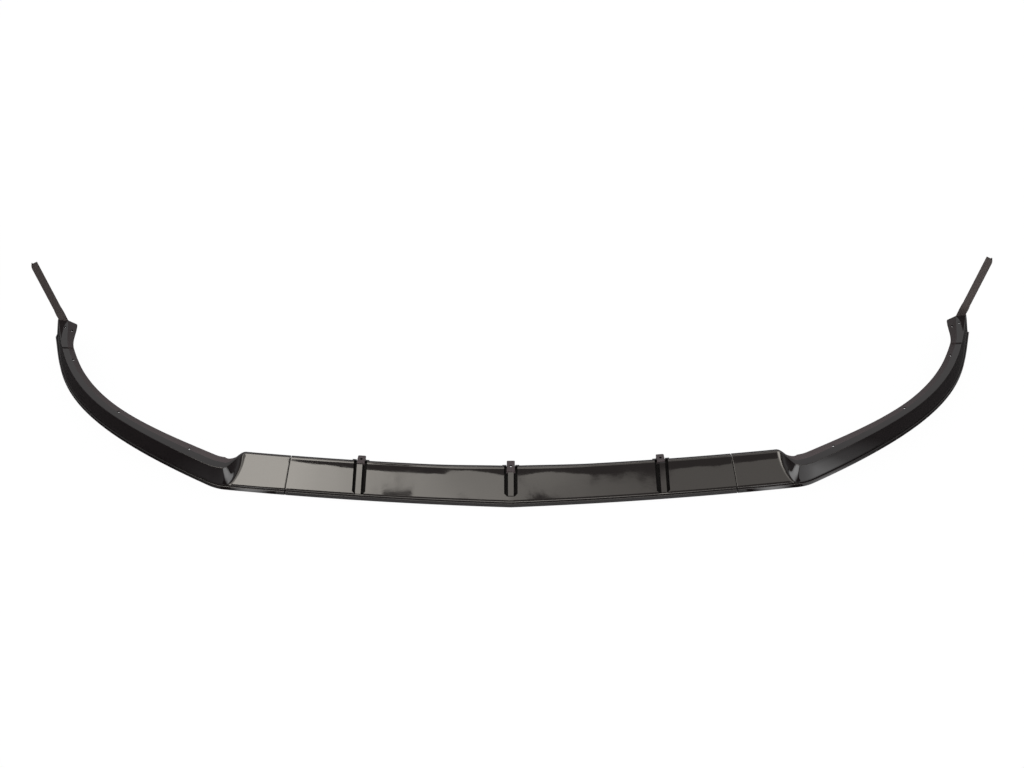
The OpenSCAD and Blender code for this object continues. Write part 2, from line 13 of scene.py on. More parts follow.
import bpy
import numpy as np
from mathutils import Matrix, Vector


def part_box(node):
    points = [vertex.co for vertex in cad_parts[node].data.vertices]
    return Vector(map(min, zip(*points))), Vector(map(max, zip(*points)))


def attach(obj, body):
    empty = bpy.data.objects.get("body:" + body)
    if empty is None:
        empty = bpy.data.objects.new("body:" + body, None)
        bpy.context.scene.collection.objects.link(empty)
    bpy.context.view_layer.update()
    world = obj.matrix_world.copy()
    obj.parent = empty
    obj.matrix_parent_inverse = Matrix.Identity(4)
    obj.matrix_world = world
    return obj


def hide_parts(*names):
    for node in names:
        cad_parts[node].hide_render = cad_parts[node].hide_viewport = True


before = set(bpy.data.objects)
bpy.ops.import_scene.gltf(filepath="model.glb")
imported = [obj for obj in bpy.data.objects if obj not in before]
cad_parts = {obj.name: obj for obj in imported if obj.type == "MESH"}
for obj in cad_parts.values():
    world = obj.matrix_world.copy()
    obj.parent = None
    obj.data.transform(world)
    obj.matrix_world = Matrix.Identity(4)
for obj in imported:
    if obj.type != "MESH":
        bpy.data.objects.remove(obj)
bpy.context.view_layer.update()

log = logging.getLogger("lip")
MM = 0.001
END_ROUND = 0.6
UP = np.array([0.0, 0.0, 1.0])
Socket = bpy.types.NodeSocket
Value = float | tuple[float, ...] | Socket
Rows = tuple[tuple[float, float], ...]


class Skin(Enum):
    """The three kinds of surface on a moulding, in the order of its material slots."""

    GLOSS = 0
    SATIN = 1
    # the unfinished back, and painted shade in the recesses and at the seams
    RAW = 2


def blend(start: float, end: float, x: np.ndarray | float) -> np.ndarray:
    """Smooth step: 3 t squared minus 2 t cubed, where t runs from 0 at start to 1 at end."""
    t = np.clip((np.asarray(x, dtype=float) - start) / (end - start), 0.0, 1.0)
    return t * t * (3.0 - 2.0 * t)


def mix(a: np.ndarray | float, b: np.ndarray | float, t: np.ndarray | float) -> np.ndarray:
    """Straight line between a and b: a plus (b minus a) times t."""
    return a + (b - a) * t


def unit(v: np.ndarray) -> np.ndarray:
    """Vectors divided by their length."""
    return v / np.linalg.norm(v, axis=-1, keepdims=True)


def heading(degrees: float) -> np.ndarray:
    """Unit vector at an angle from +X, turning towards +Y."""
    return np.array([math.cos(math.radians(degrees)), math.sin(math.radians(degrees))])


def curve2(a: np.ndarray, b: np.ndarray, c: np.ndarray, t: np.ndarray) -> np.ndarray:
    """Quadratic Bezier curve: (1-t)^2 a + 2 t (1-t) b + t^2 c."""
    return (1 - t) ** 2 * a + 2 * t * (1 - t) * b + t * t * c


def spread(start: float, end: float, pitch: float) -> np.ndarray:
    """Evenly spaced values from start to end, about pitch apart."""
    return np.linspace(start, end, max(1, round(abs(end - start) / pitch)) + 1)


def circle(radius: float, count: int = 40) -> np.ndarray:
    """Points of a circle round the origin."""
    angle = np.linspace(0, 2 * math.pi, count, endpoint=False)
    return radius * np.column_stack([np.cos(angle), np.sin(angle)])


def box(x0: float, x1: float, y0: float, y1: float) -> np.ndarray:
    """Corners of an upright rectangle, anticlockwise."""
    return np.array([[x0, y0], [x1, y0], [x1, y1], [x0, y1]])


@dataclass
class Rim:
    """Plan of the rim: a front curve, a tight fold and a long side curve.

    Places on it are measured along the rim from the nose, positive on the right.
    """

    half_width: float = 877.0
    fold_x: float = 517.0
    nose_lead: float = 48.5
    rear_y: float = 456.0
    front_angle: float = 7.8
    side_angle: float = 30.5
    rear_angle: float = 74.0
    fold_leg: float = 17.0
    side_pull: float = 356.0
    rear_pull: float = 119.0
    ruler_steps: int = 144
    seam_lead: float = 123.2
    seam_skew: float = 0.13
    seam_fade: float = 70.0
    rear_skew: float = 0.4
    skew_lead: float = 96.0
    pad_len: float = 87.0

    def __post_init__(self) -> None:
        """Works out the control points, the ruler along the rim and the places on it."""
        self.fold = np.array([self.fold_x, self.nose_lead])
        self.front_end = self.fold - self.fold_leg * heading(self.front_angle)
        half_chord = np.linalg.norm(self.front_end) / 2
        self.front_mid = self.front_end - half_chord * heading(self.front_angle)
        self.side_start = self.fold + self.fold_leg * heading(self.side_angle)
        self.side_a = self.side_start + self.side_pull * heading(self.side_angle)
        self.side_end = np.array([self.half_width, self.rear_y])
        self.side_b = self.side_end - self.rear_pull * heading(self.rear_angle)
        self.q = np.linspace(0.0, 3.0, self.ruler_steps + 1)
        steps = np.linalg.norm(np.diff(self.outline(self.q), axis=0), axis=1)
        self.ruler = np.concatenate([[0.0], np.cumsum(steps)])
        self.length = float(self.ruler[-1])
        self.fold_s = float(np.interp(1.5, self.q, self.ruler))
        self.seam_s = self.fold_s - self.seam_lead
        self.pad_step_s = self.length - self.pad_len

    def outline(self, q: np.ndarray) -> np.ndarray:
        """Points of the right half's plan: two quadratic curves and a cubic one.

        Args:
            q: 0 at the nose, 1 and 2 at the ends of the fold, 3 at the rear end.

        Returns:
            One (x, y) row per value of q.
        """
        t = np.atleast_1d(q)[:, None]
        u = t - 2
        front = curve2(np.zeros(2), self.front_mid, self.front_end, t)
        bend = curve2(self.front_end, self.fold, self.side_start, t - 1)
        side = mix(
            curve2(self.side_start, self.side_a, self.side_b, u),
            curve2(self.side_a, self.side_b, self.side_end, u),
            u,
        )
        return np.where(t <= 1, front, np.where(t <= 2, bend, side))

    def direction(self, q: np.ndarray) -> np.ndarray:
        """Unit tangent of the right half's plan: the curves' derivatives made unit length."""
        t = np.atleast_1d(q)[:, None]
        u = t - 2
        front = mix(self.front_mid, self.front_end - self.front_mid, t)
        bend = mix(self.fold - self.front_end, self.side_start - self.fold, t - 1)
        side = curve2(self.side_a, self.side_b, self.side_end, u) - curve2(
            self.side_start, self.side_a, self.side_b, u
        )
        return unit(np.where(t <= 1, front, np.where(t <= 2, bend, side)))

    def at(self, s: np.ndarray) -> tuple[np.ndarray, np.ndarray, np.ndarray]:
        """Point, tangent and inward normal of the rim at places along it, on either side."""
        s = np.atleast_1d(np.asarray(s, dtype=float))
        q = np.interp(np.abs(s), self.ruler, self.q)
        side = np.where(s < 0, -1.0, 1.0)[:, None]
        point = self.outline(q) * np.concatenate([side, np.ones_like(side)], axis=1)
        along = self.direction(q) * np.concatenate([np.ones_like(side), side], axis=1)
        along = np.where(np.abs(s)[:, None] < 1e-9, [[1.0, 0.0]], along)
        return point, along, np.stack([-along[:, 1], along[:, 0]], axis=1)

    def skew(self, s: np.ndarray) -> np.ndarray:
        """How much the section leans along the rim: beside the seam and at the rear end."""
        s = np.abs(s)
        seam = self.seam_skew * (1 - blend(0, self.seam_fade, np.abs(s - self.seam_s)))
        return seam + self.rear_skew * blend(self.pad_step_s - self.skew_lead, self.pad_step_s, s)

    def place(self, s: np.ndarray, u: np.ndarray, z: np.ndarray) -> np.ndarray:
        """Rim point plus u along the inward normal, less the skew times u along the rim.

        Args:
            s: places along the rim, one per section.
            u: depths behind the rim, one row per section.
            z: heights, of the same shape as u.

        Returns:
            An array of the shape of u with (x, y, z) at its end.
        """
        s = np.atleast_1d(np.asarray(s, dtype=float))
        point, along, inward = self.at(s)
        shift = (np.sign(s) * self.skew(s))[:, None, None] * u[..., None] * along[:, None, :]
        plan = point[:, None, :] + u[..., None] * inward[:, None, :] - shift
        return np.concatenate([plan, z[..., None]], axis=-1)

    def spot(self, s: float, u: float) -> np.ndarray:
        """The plan's point at one place and one depth, as (x, y, 0)."""
        return self.place(np.array([s]), np.array([[u]]), np.zeros((1, 1)))[0, 0]


@dataclass
class Section:
    """Cross-section of the moulded sheet: rim band, groove, face or wall, flange and back."""

    rim: Rim
    lip_h: float = 51.0
    wall: float = 3.0
    rim_h: float = 8.5
    rim_out: float = 2.6
    rim_edge: float = 0.9
    groove_d: float = 1.0
    groove_w: float = 1.0
    groove_set: float = 0.8
    groove_points: int = 7
    hem_w: float = 8.0
    foot_rise: float = 1.6
    foot_set: float = 0.5
    top_edge: float = 1.6
    inner_edge: float = 0.35
    least_edge: float = 1.0
    face_run: float = 44.0
    nose_run: float = 47.5
    nose_fade: float = 150.0
    flange_fold_w: float = 27.5
    flange_w: float = 20.5
    flange_lag: float = 4.0
    side_lean: float = 2.8
    rear_lean: float = 12.0
    lean_share: float = 0.505
    scoop_lead: float = 48.2
    scoop_len: float = 32.0
    scoop_close: float = 20.0
    pad_rise: float = 2.0
    pad_w: float = 35.0
    step_half: float = 0.4
    crown: float = 0.35
    crown_from: float = 0.72
    ledge: float = 1.1
    ledge_tilt: float = 29.0
    ledge_lead: float = 0.2
    ledge_edge: float = 0.12
    ledge_drop: float = 0.25
    gloss_lag: float = 6.0
    arc_points: int = 6
    face_points: int = 26
    back_points: int = 8
    back_low: float = 0.2

    def __post_init__(self) -> None:
        """Works out the foot of the face, the scoop's place and where the wall starts to lean."""
        self.scoop_start = self.rim.fold_s - self.scoop_lead
        self.scoop_end = self.scoop_start + self.scoop_len
        self.lean_start = mix(self.rim.fold_s, self.rim.pad_step_s, self.lean_share)
        self.foot_z = self.rim_h + self.foot_rise
        self.foot_u = self.rim_out + self.foot_set
        self.pad_top = self.lip_h + self.pad_rise

    def run(self, s: np.ndarray) -> np.ndarray:
        """Depth of the sloping face at a place along the rim."""
        return mix(self.nose_run, self.face_run, blend(0, self.nose_fade, np.abs(s)))

    def lean(self, s: np.ndarray) -> np.ndarray:
        """How far the top of the side wall stands in from the rim."""
        reach = blend(self.lean_start, self.rim.pad_step_s, np.abs(s))
        return mix(self.side_lean, self.rear_lean, reach)

    def scoop(self, s: np.ndarray, v: np.ndarray | float) -> np.ndarray:
        """Share of the turn from face to wall: it starts later near the foot, as in a bowl."""
        start = self.scoop_start + self.scoop_close * (1 - np.asarray(v)) ** 2
        t = np.clip((np.abs(s) - start) / (self.scoop_end - start), 0.0, 1.0)
        return t * t * (3 - 2 * t)

    def face_u(self, s: np.ndarray, v: np.ndarray | float) -> np.ndarray:
        """Depth of the face at v, which runs from 0 at its foot to 1 at its top."""
        top = mix(self.run(s), self.lean(s), self.scoop(s, v))
        return mix(self.foot_u, top, v)

    def top_z(self, s: np.ndarray) -> np.ndarray:
        """Height of the top: the lip's own, and a small step up at the end pad."""
        step = self.rim.pad_step_s
        rise = blend(step - self.step_half, step + self.step_half, np.abs(s))
        return self.lip_h + self.pad_rise * rise

    def flange(self, s: np.ndarray) -> np.ndarray:
        """Width of the flange: wide at the fold, narrow along the side, wide at the pad."""
        s = np.abs(s)
        side = mix(self.flange_fold_w, self.flange_w, blend(self.scoop_end, self.lean_start, s))
        whole = mix(side, self.pad_w, blend(self.rim.pad_step_s, self.rim.length, s))
        lag = self.flange_lag
        return whole * blend(self.scoop_start + lag, self.scoop_end + lag, s)

    def level_t(self, s: np.ndarray, thickness: float) -> np.ndarray:
        """Sheet thickness measured level with the ground, from the slopes of its face."""
        rise = (self.face_u(s, 1.0) - self.foot_u) / (self.top_z(s) - self.foot_z)
        along = self.face_u(s + 0.5, 1.0) - self.face_u(s - 0.5, 1.0)
        return thickness * np.sqrt(1 + rise**2 + along**2)

    def outlines(self, s: np.ndarray) -> tuple[np.ndarray, np.ndarray, np.ndarray]:
        """Closed outlines of the sheet at places along the rim.

        The face is a straight line in v that bends back a little near its top, behind a narrow
        ledge at its foot that runs out in the scoop. Edges are quarter circles or quadratic
        curves, and the groove is one wave of a cosine.

        Args:
            s: places along the rim.

        Returns:
            Depths and heights, one row per place, and the kind of skin after each point.
        """
        s = np.asarray(s, dtype=float)
        one = np.ones((len(s), 1))
        col = s[:, None]
        parts: list[tuple[np.ndarray, np.ndarray, Skin]] = []

        def add(u: np.ndarray | float, z: np.ndarray | float, skin: Skin) -> None:
            """Adds a stretch of the outline."""
            parts.append((*np.broadcast_arrays(u * one, z * one), skin))

        quarter = np.linspace(0, math.pi / 2, self.arc_points)
        r = self.rim_edge
        add(r - r * np.sin(quarter), r - r * np.cos(quarter), Skin.GLOSS)
        add(r - r * np.cos(quarter), self.rim_h - r + r * np.sin(quarter), Skin.GLOSS)
        wave = np.linspace(0, 1, self.groove_points)
        depth = self.groove_d * (0.5 - 0.5 * np.cos(2 * math.pi * wave))
        start = self.rim_out - self.groove_set
        add(start + self.groove_w * wave, self.rim_h - depth, Skin.GLOSS)

        ledge = self.ledge / (self.run(col) - self.foot_u)
        lead = self.rim_out + self.ledge_lead
        tilt = math.tan(math.radians(self.ledge_tilt))
        rise = self.foot_z + (self.lip_h - self.foot_z) * ledge
        front = rise - tilt * (self.ledge + self.foot_u - lead)
        front = mix(front, self.foot_z, self.scoop(col, 0.0))
        add(lead, front - self.ledge_drop, Skin.GLOSS)
        add(lead + self.ledge_edge, front, Skin.GLOSS)

        tz = self.top_z(col)
        tu = self.face_u(col, 1.0)
        slope = np.concatenate([tu - self.foot_u, tz - self.foot_z], axis=1)
        length = np.linalg.norm(slope, axis=1, keepdims=True)
        up = slope / length
        v = mix(ledge, 1.0, np.linspace(0, 1, self.face_points)) * (1 - self.top_edge / length)
        back = self.crown * np.clip((v - self.crown_from) / (1 - self.crown_from), 0, 1) ** 2
        face_u = self.face_u(col, v) + back * up[:, 1:]
        face_z = mix(self.foot_z, tz, v) - back * up[:, :1]
        add(face_u, face_z, Skin.GLOSS)
        corner = np.linspace(0, 1, self.arc_points + 1)[None, 1:, None]
        lower = np.stack([face_u[:, -1:], face_z[:, -1:]], axis=-1)
        upper = np.stack([tu + self.top_edge, tz], axis=-1)
        arc = curve2(lower, np.stack([tu, tz], axis=-1), upper, corner)
        add(arc[..., 0], arc[..., 1], Skin.GLOSS)

        thick = self.level_t(col, self.wall)
        inner = tu + np.maximum(thick, self.flange(col))
        edge = np.minimum(self.wall, self.least_edge + self.flange(col))
        ease = self.inner_edge
        add(mix(tu + self.top_edge, inner - ease, np.array([[0.5, 1.0]])), tz, Skin.SATIN)
        add(inner, tz - ease, Skin.SATIN)
        add(inner, tz - edge, Skin.RAW)
        under = 1 - self.wall / (tz - self.foot_z)
        v = under * np.linspace(1, self.back_low, self.back_points)
        add(self.face_u(col, v) + thick, mix(self.foot_z, tz, v), Skin.RAW)
        add(np.maximum(self.foot_u + thick, self.hem_w), self.rim_h, Skin.RAW)
        add(self.hem_w, 0.0, Skin.RAW)
        kinds = np.concatenate([np.full(u.shape[1], skin.value) for u, _, skin in parts])
        depths, heights = (np.concatenate([part[k] for part in parts], axis=1) for k in (0, 1))
        return depths, heights, kinds


def sheet_rings(section: Section, s: np.ndarray) -> tuple[np.ndarray, np.ndarray]:
    """Rings of the sheet at places along the rim, rounded off towards both ends.

    Near an end each point moves along the outline's inward normal, the turned difference of
    its neighbours, by radius - sqrt(radius^2 - (radius - d)^2), d being the way to the end.

    Args:
        section: the sheet's section.
        s: places along the rim, in rising order of x.

    Returns:
        The rings, and the skin numbers for each gap between rings and each point: the top is
        glossy over the face, and the rounded ends take the near-black raw skin, painted shade in
        the seams.
    """
    depth, height, kinds = section.outlines(s)
    away = np.minimum(np.abs(s - s[0]), np.abs(s - s[-1]))
    left = np.clip(END_ROUND - away, 0, END_ROUND)
    pull = (END_ROUND - np.sqrt(END_ROUND**2 - left**2))[:, None]
    du, dz = (np.roll(a, -1, axis=1) - np.roll(a, 1, axis=1) for a in (depth, height))
    size = np.maximum(np.hypot(du, dz), 1e-6)
    eased_height = np.maximum(height - pull * du / size, 0.0)
    middle = np.abs(s[1:] + s[:-1]) / 2
    on_face = (middle < section.scoop_start + section.gloss_lag)[:, None]
    skins = np.where((kinds == Skin.SATIN.value) & on_face, Skin.GLOSS.value, kinds)
    at_end = (left[1:] > 0) & (left[:-1] > 0)
    # Painted shade: the rounded ends take the near-black raw skin, so the seams read as dark
    # lines.
    skins = np.where(at_end[:, None], Skin.RAW.value, skins)
    return section.rim.place(s, depth + pull * dz / size, eased_height), skins


def rounded_end(end: float, way: int) -> np.ndarray:
    """Four places over the rounding of an end, going up (way 1) or down (way -1) from it."""
    return end + way * END_ROUND * (1 - np.cos(np.linspace(0, math.pi / 2, 4)))


@dataclass
class Graph:
    """A node tree while it is built."""

    tree: bpy.types.NodeTree

    def feed(self, socket: Socket, value: Value) -> None:
        """Links a socket to another, or sets it."""
        if isinstance(value, Socket):
            self.tree.links.new(value, socket)
        else:
            socket.default_value = value

    def add(
        self, kind: str, inputs: dict[str | int, Value] | None = None, **settings: object
    ) -> bpy.types.ShaderNode:
        """Adds a node.

        Args:
            kind: the node's type, less its first word ShaderNode.
            inputs: sockets to link or values to set, by the input's name or number.
            settings: the node's own settings.

        Returns:
            The new node.
        """
        node = self.tree.nodes.new(f"ShaderNode{kind}")
        for setting, value in settings.items():
            setattr(node, setting, value)
        for name, value in (inputs or {}).items():
            self.feed(node.inputs[name], value)
        return node

    def math(self, operation: str, a: Value, b: Value) -> Socket:
        """Result of a math operation on two sockets or numbers."""
        return self.add("Math", {0: a, 1: b}, operation=operation).outputs[0]

    def part(self, vector: Socket, axis: str) -> Socket:
        """One coordinate of a vector."""
        return self.add("SeparateXYZ", {0: vector}).outputs[axis]

    def share(self, value: Socket, span: tuple[float, float], kind: str = "LINEAR") -> Socket:
        """A share from 0 to 1 while the value crosses a span."""
        ends = {"Value": value, "From Min": span[0], "From Max": span[1]}
        return self.add("MapRange", ends, interpolation_type=kind).outputs[0]

    def between(self, share: Socket, a: Value, b: Value, kind: str = "FLOAT") -> Socket:
        """A value or colour between a and b."""
        return self.add("Mix", {"Factor": share, "A": a, "B": b}, data_type=kind).outputs["Result"]

    def noise(self, place: Socket, scale: Value, detail: float, roughness: float = 0.5) -> Socket:
        """Fractal noise at a place."""
        inputs = {"Vector": place, "Scale": scale, "Detail": detail, "Roughness": roughness}
        return self.add("TexNoise", inputs).outputs["Fac"]

    def curve(self, at: Socket, rows: Rows) -> Socket:
        """A value that follows rows of (place, value), joined by straight lines.

        Args:
            at: 0 at the first row's place and 1 at the last one's.
            rows: places in rising order, each with its value.

        Returns:
            The value's socket.
        """
        place, value = np.array(rows).T
        peak = value.max()
        spots = np.column_stack([(place - place[0]) / (place[-1] - place[0]), value / peak])
        node = self.add("FloatCurve", {"Value": at})
        line = node.mapping.curves[0].points
        line[0].location, line[1].location = spots[0], spots[-1]
        for spot in spots[1:-1]:
            line.new(*spot)
        for point in line:
            point.handle_type = "VECTOR"
        node.mapping.update()
        return self.math("MULTIPLY", node.outputs[0], float(peak))

    def glow(self, strength: Value, tint: tuple[float, float, float] = (1.0, 1.0, 1.0)) -> Socket:
        """An emission shader of a strength and a tint."""
        return self.add("Emission", {"Color": (*tint, 1.0), "Strength": strength}).outputs[0]


class Effects:
    """Shader node groups that more than one finish uses."""

    smear_scale: float = 21.0
    smear_span: tuple[float, float] = (0.52, 0.72)
    smear_dulls: float = 0.35
    smear_lightens: float = 0.08
    dust: tuple[float, float, float, float] = (0.16, 0.15, 0.14, 1.0)

    def __init__(self) -> None:
        """Builds the surface group once."""
        self.surface = self.build_surface()

    def build_surface(self) -> bpy.types.NodeTree:
        """Slow waves plus fine grain as a height, and smears that dull and lighten the skin."""
        group = bpy.data.node_groups.new("moulded_surface", "ShaderNodeTree")
        numbers = ("Roughness", "Wave size", "Wave depth", "Grain size", "Grain depth", "Smear")
        ends = [("Place", "INPUT", "Vector"), ("Colour", "INPUT", "Color")]
        ends += [(name, "INPUT", "Float") for name in numbers]
        ends += [("Colour", "OUTPUT", "Color")]
        ends += [(name, "OUTPUT", "Float") for name in ("Roughness", "Height")]
        for name, way, kind in ends:
            group.interface.new_socket(name, in_out=way, socket_type=f"NodeSocket{kind}")
        graph = Graph(group)
        enter = group.nodes.new("NodeGroupInput").outputs
        leave = group.nodes.new("NodeGroupOutput").inputs

        def ripple(name: str, detail: float) -> Socket:
            """Noise as large and as deep as the inputs of a name say."""
            scale = graph.math("DIVIDE", 1.0, enter[f"{name} size"])
            noise = graph.noise(enter["Place"], scale, detail)
            return graph.math("MULTIPLY", noise, enter[f"{name} depth"])

        graph.feed(leave["Height"], graph.math("ADD", ripple("Wave", 1.0), ripple("Grain", 2.0)))
        spots = graph.share(graph.noise(enter["Place"], self.smear_scale, 6.0), self.smear_span)
        marks = graph.math("MULTIPLY", spots, enter["Smear"])
        dulled = graph.math("MULTIPLY", marks, self.smear_dulls)
        graph.feed(leave["Roughness"], graph.math("ADD", enter["Roughness"], dulled))
        light = graph.math("MULTIPLY", marks, self.smear_lightens)
        graph.feed(leave["Colour"], graph.between(light, enter["Colour"], self.dust, "RGBA"))
        return group

    def dress(
        self, name: str, inputs: dict[str, Value]
    ) -> tuple[bpy.types.Material, Graph, bpy.types.ShaderNode, bpy.types.ShaderNode]:
        """A material with the surface group in its colour and roughness.

        Args:
            name: the material's name.
            inputs: the group's inputs, by name.

        Returns:
            The material, its graph, its Principled shader and the surface group's node.
        """
        material = bpy.data.materials.new(name)
        material.use_nodes = True
        graph = Graph(material.node_tree)
        shader = material.node_tree.nodes["Principled BSDF"]
        inputs = {"Place": graph.add("TexCoord").outputs["Object"], **inputs}
        surface = graph.add("Group", inputs, node_tree=self.surface)
        graph.feed(shader.inputs["Base Color"], surface.outputs["Colour"])
        graph.feed(shader.inputs["Roughness"], surface.outputs["Roughness"])
        return material, graph, shader, surface


@dataclass(frozen=True)
class Plastic:
    """Moulded black plastic: base colour, gloss, and how wavy its surface is.

    Sizes and depths of waves and grain are in metres and in steps of a millimetre's bump. The
    colour turns to that of the rear, where one is given, as Y crosses the fade's span: painted
    shade, the satin darker towards the rear of the lip.
    """

    name: str
    colour: tuple[float, float, float]
    roughness: float
    wave_size: float
    wave_depth: float
    grain_size: float
    grain_depth: float
    smear: float
    shine: float = 0.5
    rear: tuple[float, float, float] | None = None
    fade: tuple[float, float] = (-0.19, 0.17)
    index: float = 1.45

    def build(self, effects: Effects) -> bpy.types.Material:
        """Makes the material: waves and grain feed one bump, smears change the roughness."""
        values = {
            "Colour": (*self.colour, 1.0),
            "Roughness": self.roughness,
            "Wave size": self.wave_size,
            "Wave depth": self.wave_depth,
            "Grain size": self.grain_size,
            "Grain depth": self.grain_depth,
            "Smear": self.smear,
        }
        material, graph, shader, surface = effects.dress(self.name, values)
        shader.inputs["IOR"].default_value = self.index
        shader.inputs["Specular IOR Level"].default_value = self.shine
        # Painted shade: where a rear colour is given, the colour darkens towards it along Y.
        if self.rear is not None:
            y = graph.part(graph.add("TexCoord").outputs["Object"], "Y")
            ends = (*self.colour, 1.0), (*self.rear, 1.0)
            painted_shade = graph.between(graph.share(y, self.fade), *ends, "RGBA")
            graph.feed(surface.inputs["Colour"], painted_shade)
        inputs = {"Strength": 1.0, "Distance": MM, "Height": surface.outputs["Height"]}
        graph.feed(shader.inputs["Normal"], graph.add("Bump", inputs).outputs["Normal"])
        return material


@dataclass(frozen=True)
class ScrewSteel:
    """Zinc-plated steel of the joint screws."""

    name: str = "screw_steel"
    colour: tuple[float, float, float] = (0.45, 0.45, 0.46)
    roughness: float = 0.32
    smear: float = 0.1

    def build(self, effects: Effects) -> bpy.types.Material:
        """Makes the material: metal with the shared smears in its roughness."""
        values = {"Colour": (*self.colour, 1.0), "Roughness": self.roughness, "Smear": self.smear}
        material, _, shader, _ = effects.dress(self.name, values)
        shader.inputs["Metallic"].default_value = 1.0
        return material


@dataclass
class Pose:
    """A frame in space: an origin and three axes."""

    origin: np.ndarray
    axes: np.ndarray

    def apply(self, points: np.ndarray) -> np.ndarray:
        """Points of the frame as points of the part: origin plus the axes times them."""
        return self.origin + points @ self.axes

    def moved(self, x: float, y: float, z: float) -> "Pose":
        """The same frame, moved along its own axes."""
        return Pose(self.apply(np.array([x, y, z])), self.axes)

    def flipped(self, side: int) -> "Pose":
        """The same frame, mirrored in x where the side is -1."""
        flip = np.array([side, 1.0, 1.0])
        return Pose(self.origin * flip, self.axes * flip)


@dataclass
class Workshop:
    """Knows the section, turns arrays into Blender objects, and joins and cuts them."""

    section: Section
    skins: list[bpy.types.Material]
    centre_y: float
    smooth_to: float = 32.0

    def upright(self, s: float) -> Pose:
        """Frame on the ground under the rim: X along the rim, Y inward, Z up."""
        point, along, inward = self.section.rim.at(np.array([s]))
        axes = np.array([[*along[0], 0.0], [*inward[0], 0.0], UP])
        return Pose(np.array([*point[0], 0.0]), axes)

    def slope(self, s: float) -> tuple[float, float]:
        """Length and angle of the sloping face, from its foot to its top."""
        high = self.section.lip_h - self.section.foot_z
        deep = float(self.section.run(s)) - self.section.foot_u
        return math.hypot(high, deep), math.atan2(high, deep)

    def on_face(self, s: float) -> Pose:
        """Frame on the sloping face: X along the rim, Y up the face, Z out of it."""
        base = self.upright(s)
        _, angle = self.slope(s)
        along, inward, up = base.axes
        slope = math.cos(angle) * inward + math.sin(angle) * up
        out = math.cos(angle) * up - math.sin(angle) * inward
        origin = base.apply(np.array([0.0, self.section.foot_u, self.section.foot_z]))
        return Pose(origin, np.array([along, slope, out]))

    def make(
        self, name: str, points: np.ndarray, faces: list, kinds: np.ndarray
    ) -> bpy.types.Object:
        """Makes a closed mesh object.

        Args:
            name: the object's name.
            points: its vertices.
            faces: lists of vertex numbers.
            kinds: the skin number of each face.

        Returns:
            The new object, at the origin, with its place in its mesh.
        """
        placed = (points.reshape(-1, 3) - [0.0, self.centre_y, 0.0]) * MM
        mesh = bpy.data.meshes.new(name)
        mesh.from_pydata(placed.tolist(), [], faces)
        for skin in self.skins:
            mesh.materials.append(skin)
        mesh.polygons.foreach_set("material_index", np.asarray(kinds, dtype=np.int32))
        mesh.update()
        piece = bpy.data.objects.new(name, mesh)
        bpy.context.scene.collection.objects.link(piece)
        return piece

    def loft(
        self, name: str, rings: np.ndarray, kinds: np.ndarray | int, ends: Skin = Skin.RAW
    ) -> bpy.types.Object:
        """Closed surface over rings of points, with both ends capped.

        Its faces point outwards where a ring runs anticlockwise as seen from the last ring.

        Args:
            name: the object's name.
            rings: an array of rings, points and coordinates.
            kinds: the skin number of all of it, or after each point of a ring, the same for all
                rings or one row for each gap between rings.
            ends: the skin of the two caps.

        Returns:
            The new object.
        """
        count, n = rings.shape[:2]
        i, j = np.meshgrid(np.arange(count - 1), np.arange(n), indexing="ij")
        a = i * n + j
        b = i * n + (j + 1) % n
        quads = np.stack([a, b, b + n, a + n], axis=-1).reshape(-1, 4)
        last = (count - 1) * n
        caps = [list(range(n - 1, -1, -1)), list(range(last, last + n))]
        skin = np.concatenate([np.broadcast_to(kinds, (count - 1, n)).ravel(), [ends.value] * 2])
        return self.make(name, rings, quads.tolist() + caps, skin)

    def prism(
        self, outline: np.ndarray, low: float, high: float, pose: Pose, skin: Skin = Skin.RAW
    ) -> bpy.types.Object:
        """A flat outline drawn out between two heights of a pose's own Z.

        Args:
            outline: points of the outline, anticlockwise, or clockwise in a mirrored pose.
            low: lower end.
            high: upper end.
            pose: where the outline's frame stands.
            skin: the skin of all its faces.

        Returns:
            The new object.
        """
        rings = [np.column_stack([outline, np.full(len(outline), z)]) for z in (low, high)]
        return self.loft("prism", pose.apply(np.stack(rings)), skin.value, skin)

    def combine(self, base: bpy.types.Object, tool: bpy.types.Object, operation: str) -> None:
        """Changes the base by a closed mesh, which is used up.

        Args:
            base: the object that is changed.
            tool: the other object.
            operation: UNION, DIFFERENCE or INTERSECT.
        """
        step = base.modifiers.new(operation, "BOOLEAN")
        step.operation = operation
        step.object = tool
        step.solver = "MANIFOLD"
        graph = bpy.context.evaluated_depsgraph_get()
        result = bpy.data.meshes.new_from_object(base.evaluated_get(graph))
        base.modifiers.clear()
        old, used = base.data, tool.data
        base.data = result
        result.name = base.name
        bpy.data.objects.remove(tool)
        bpy.data.meshes.remove(old)
        bpy.data.meshes.remove(used)

    def join(self, base: bpy.types.Object, tool: bpy.types.Object) -> None:
        """Adds a closed mesh to the base."""
        self.combine(base, tool, "UNION")

    def cut(self, base: bpy.types.Object, tool: bpy.types.Object) -> None:
        """Cuts a closed mesh out of the base."""
        self.combine(base, tool, "DIFFERENCE")

    def keep(self, base: bpy.types.Object, tool: bpy.types.Object) -> None:
        """Leaves only what the base shares with a closed mesh."""
        self.combine(base, tool, "INTERSECT")

    def finish(self, piece: bpy.types.Object, node: str, slot: str = "gloss_black") -> None:
        """Smooths a piece up to its edges and puts it in the place of a CAD node."""
        mesh = piece.data
        mesh.polygons.foreach_set("use_smooth", np.ones(len(mesh.polygons), dtype=bool))
        mesh.set_sharp_from_angle(angle=math.radians(self.smooth_to))
        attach(piece, "root")
        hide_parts(node)
        log.info("%s: %d faces", piece.name, len(mesh.polygons))


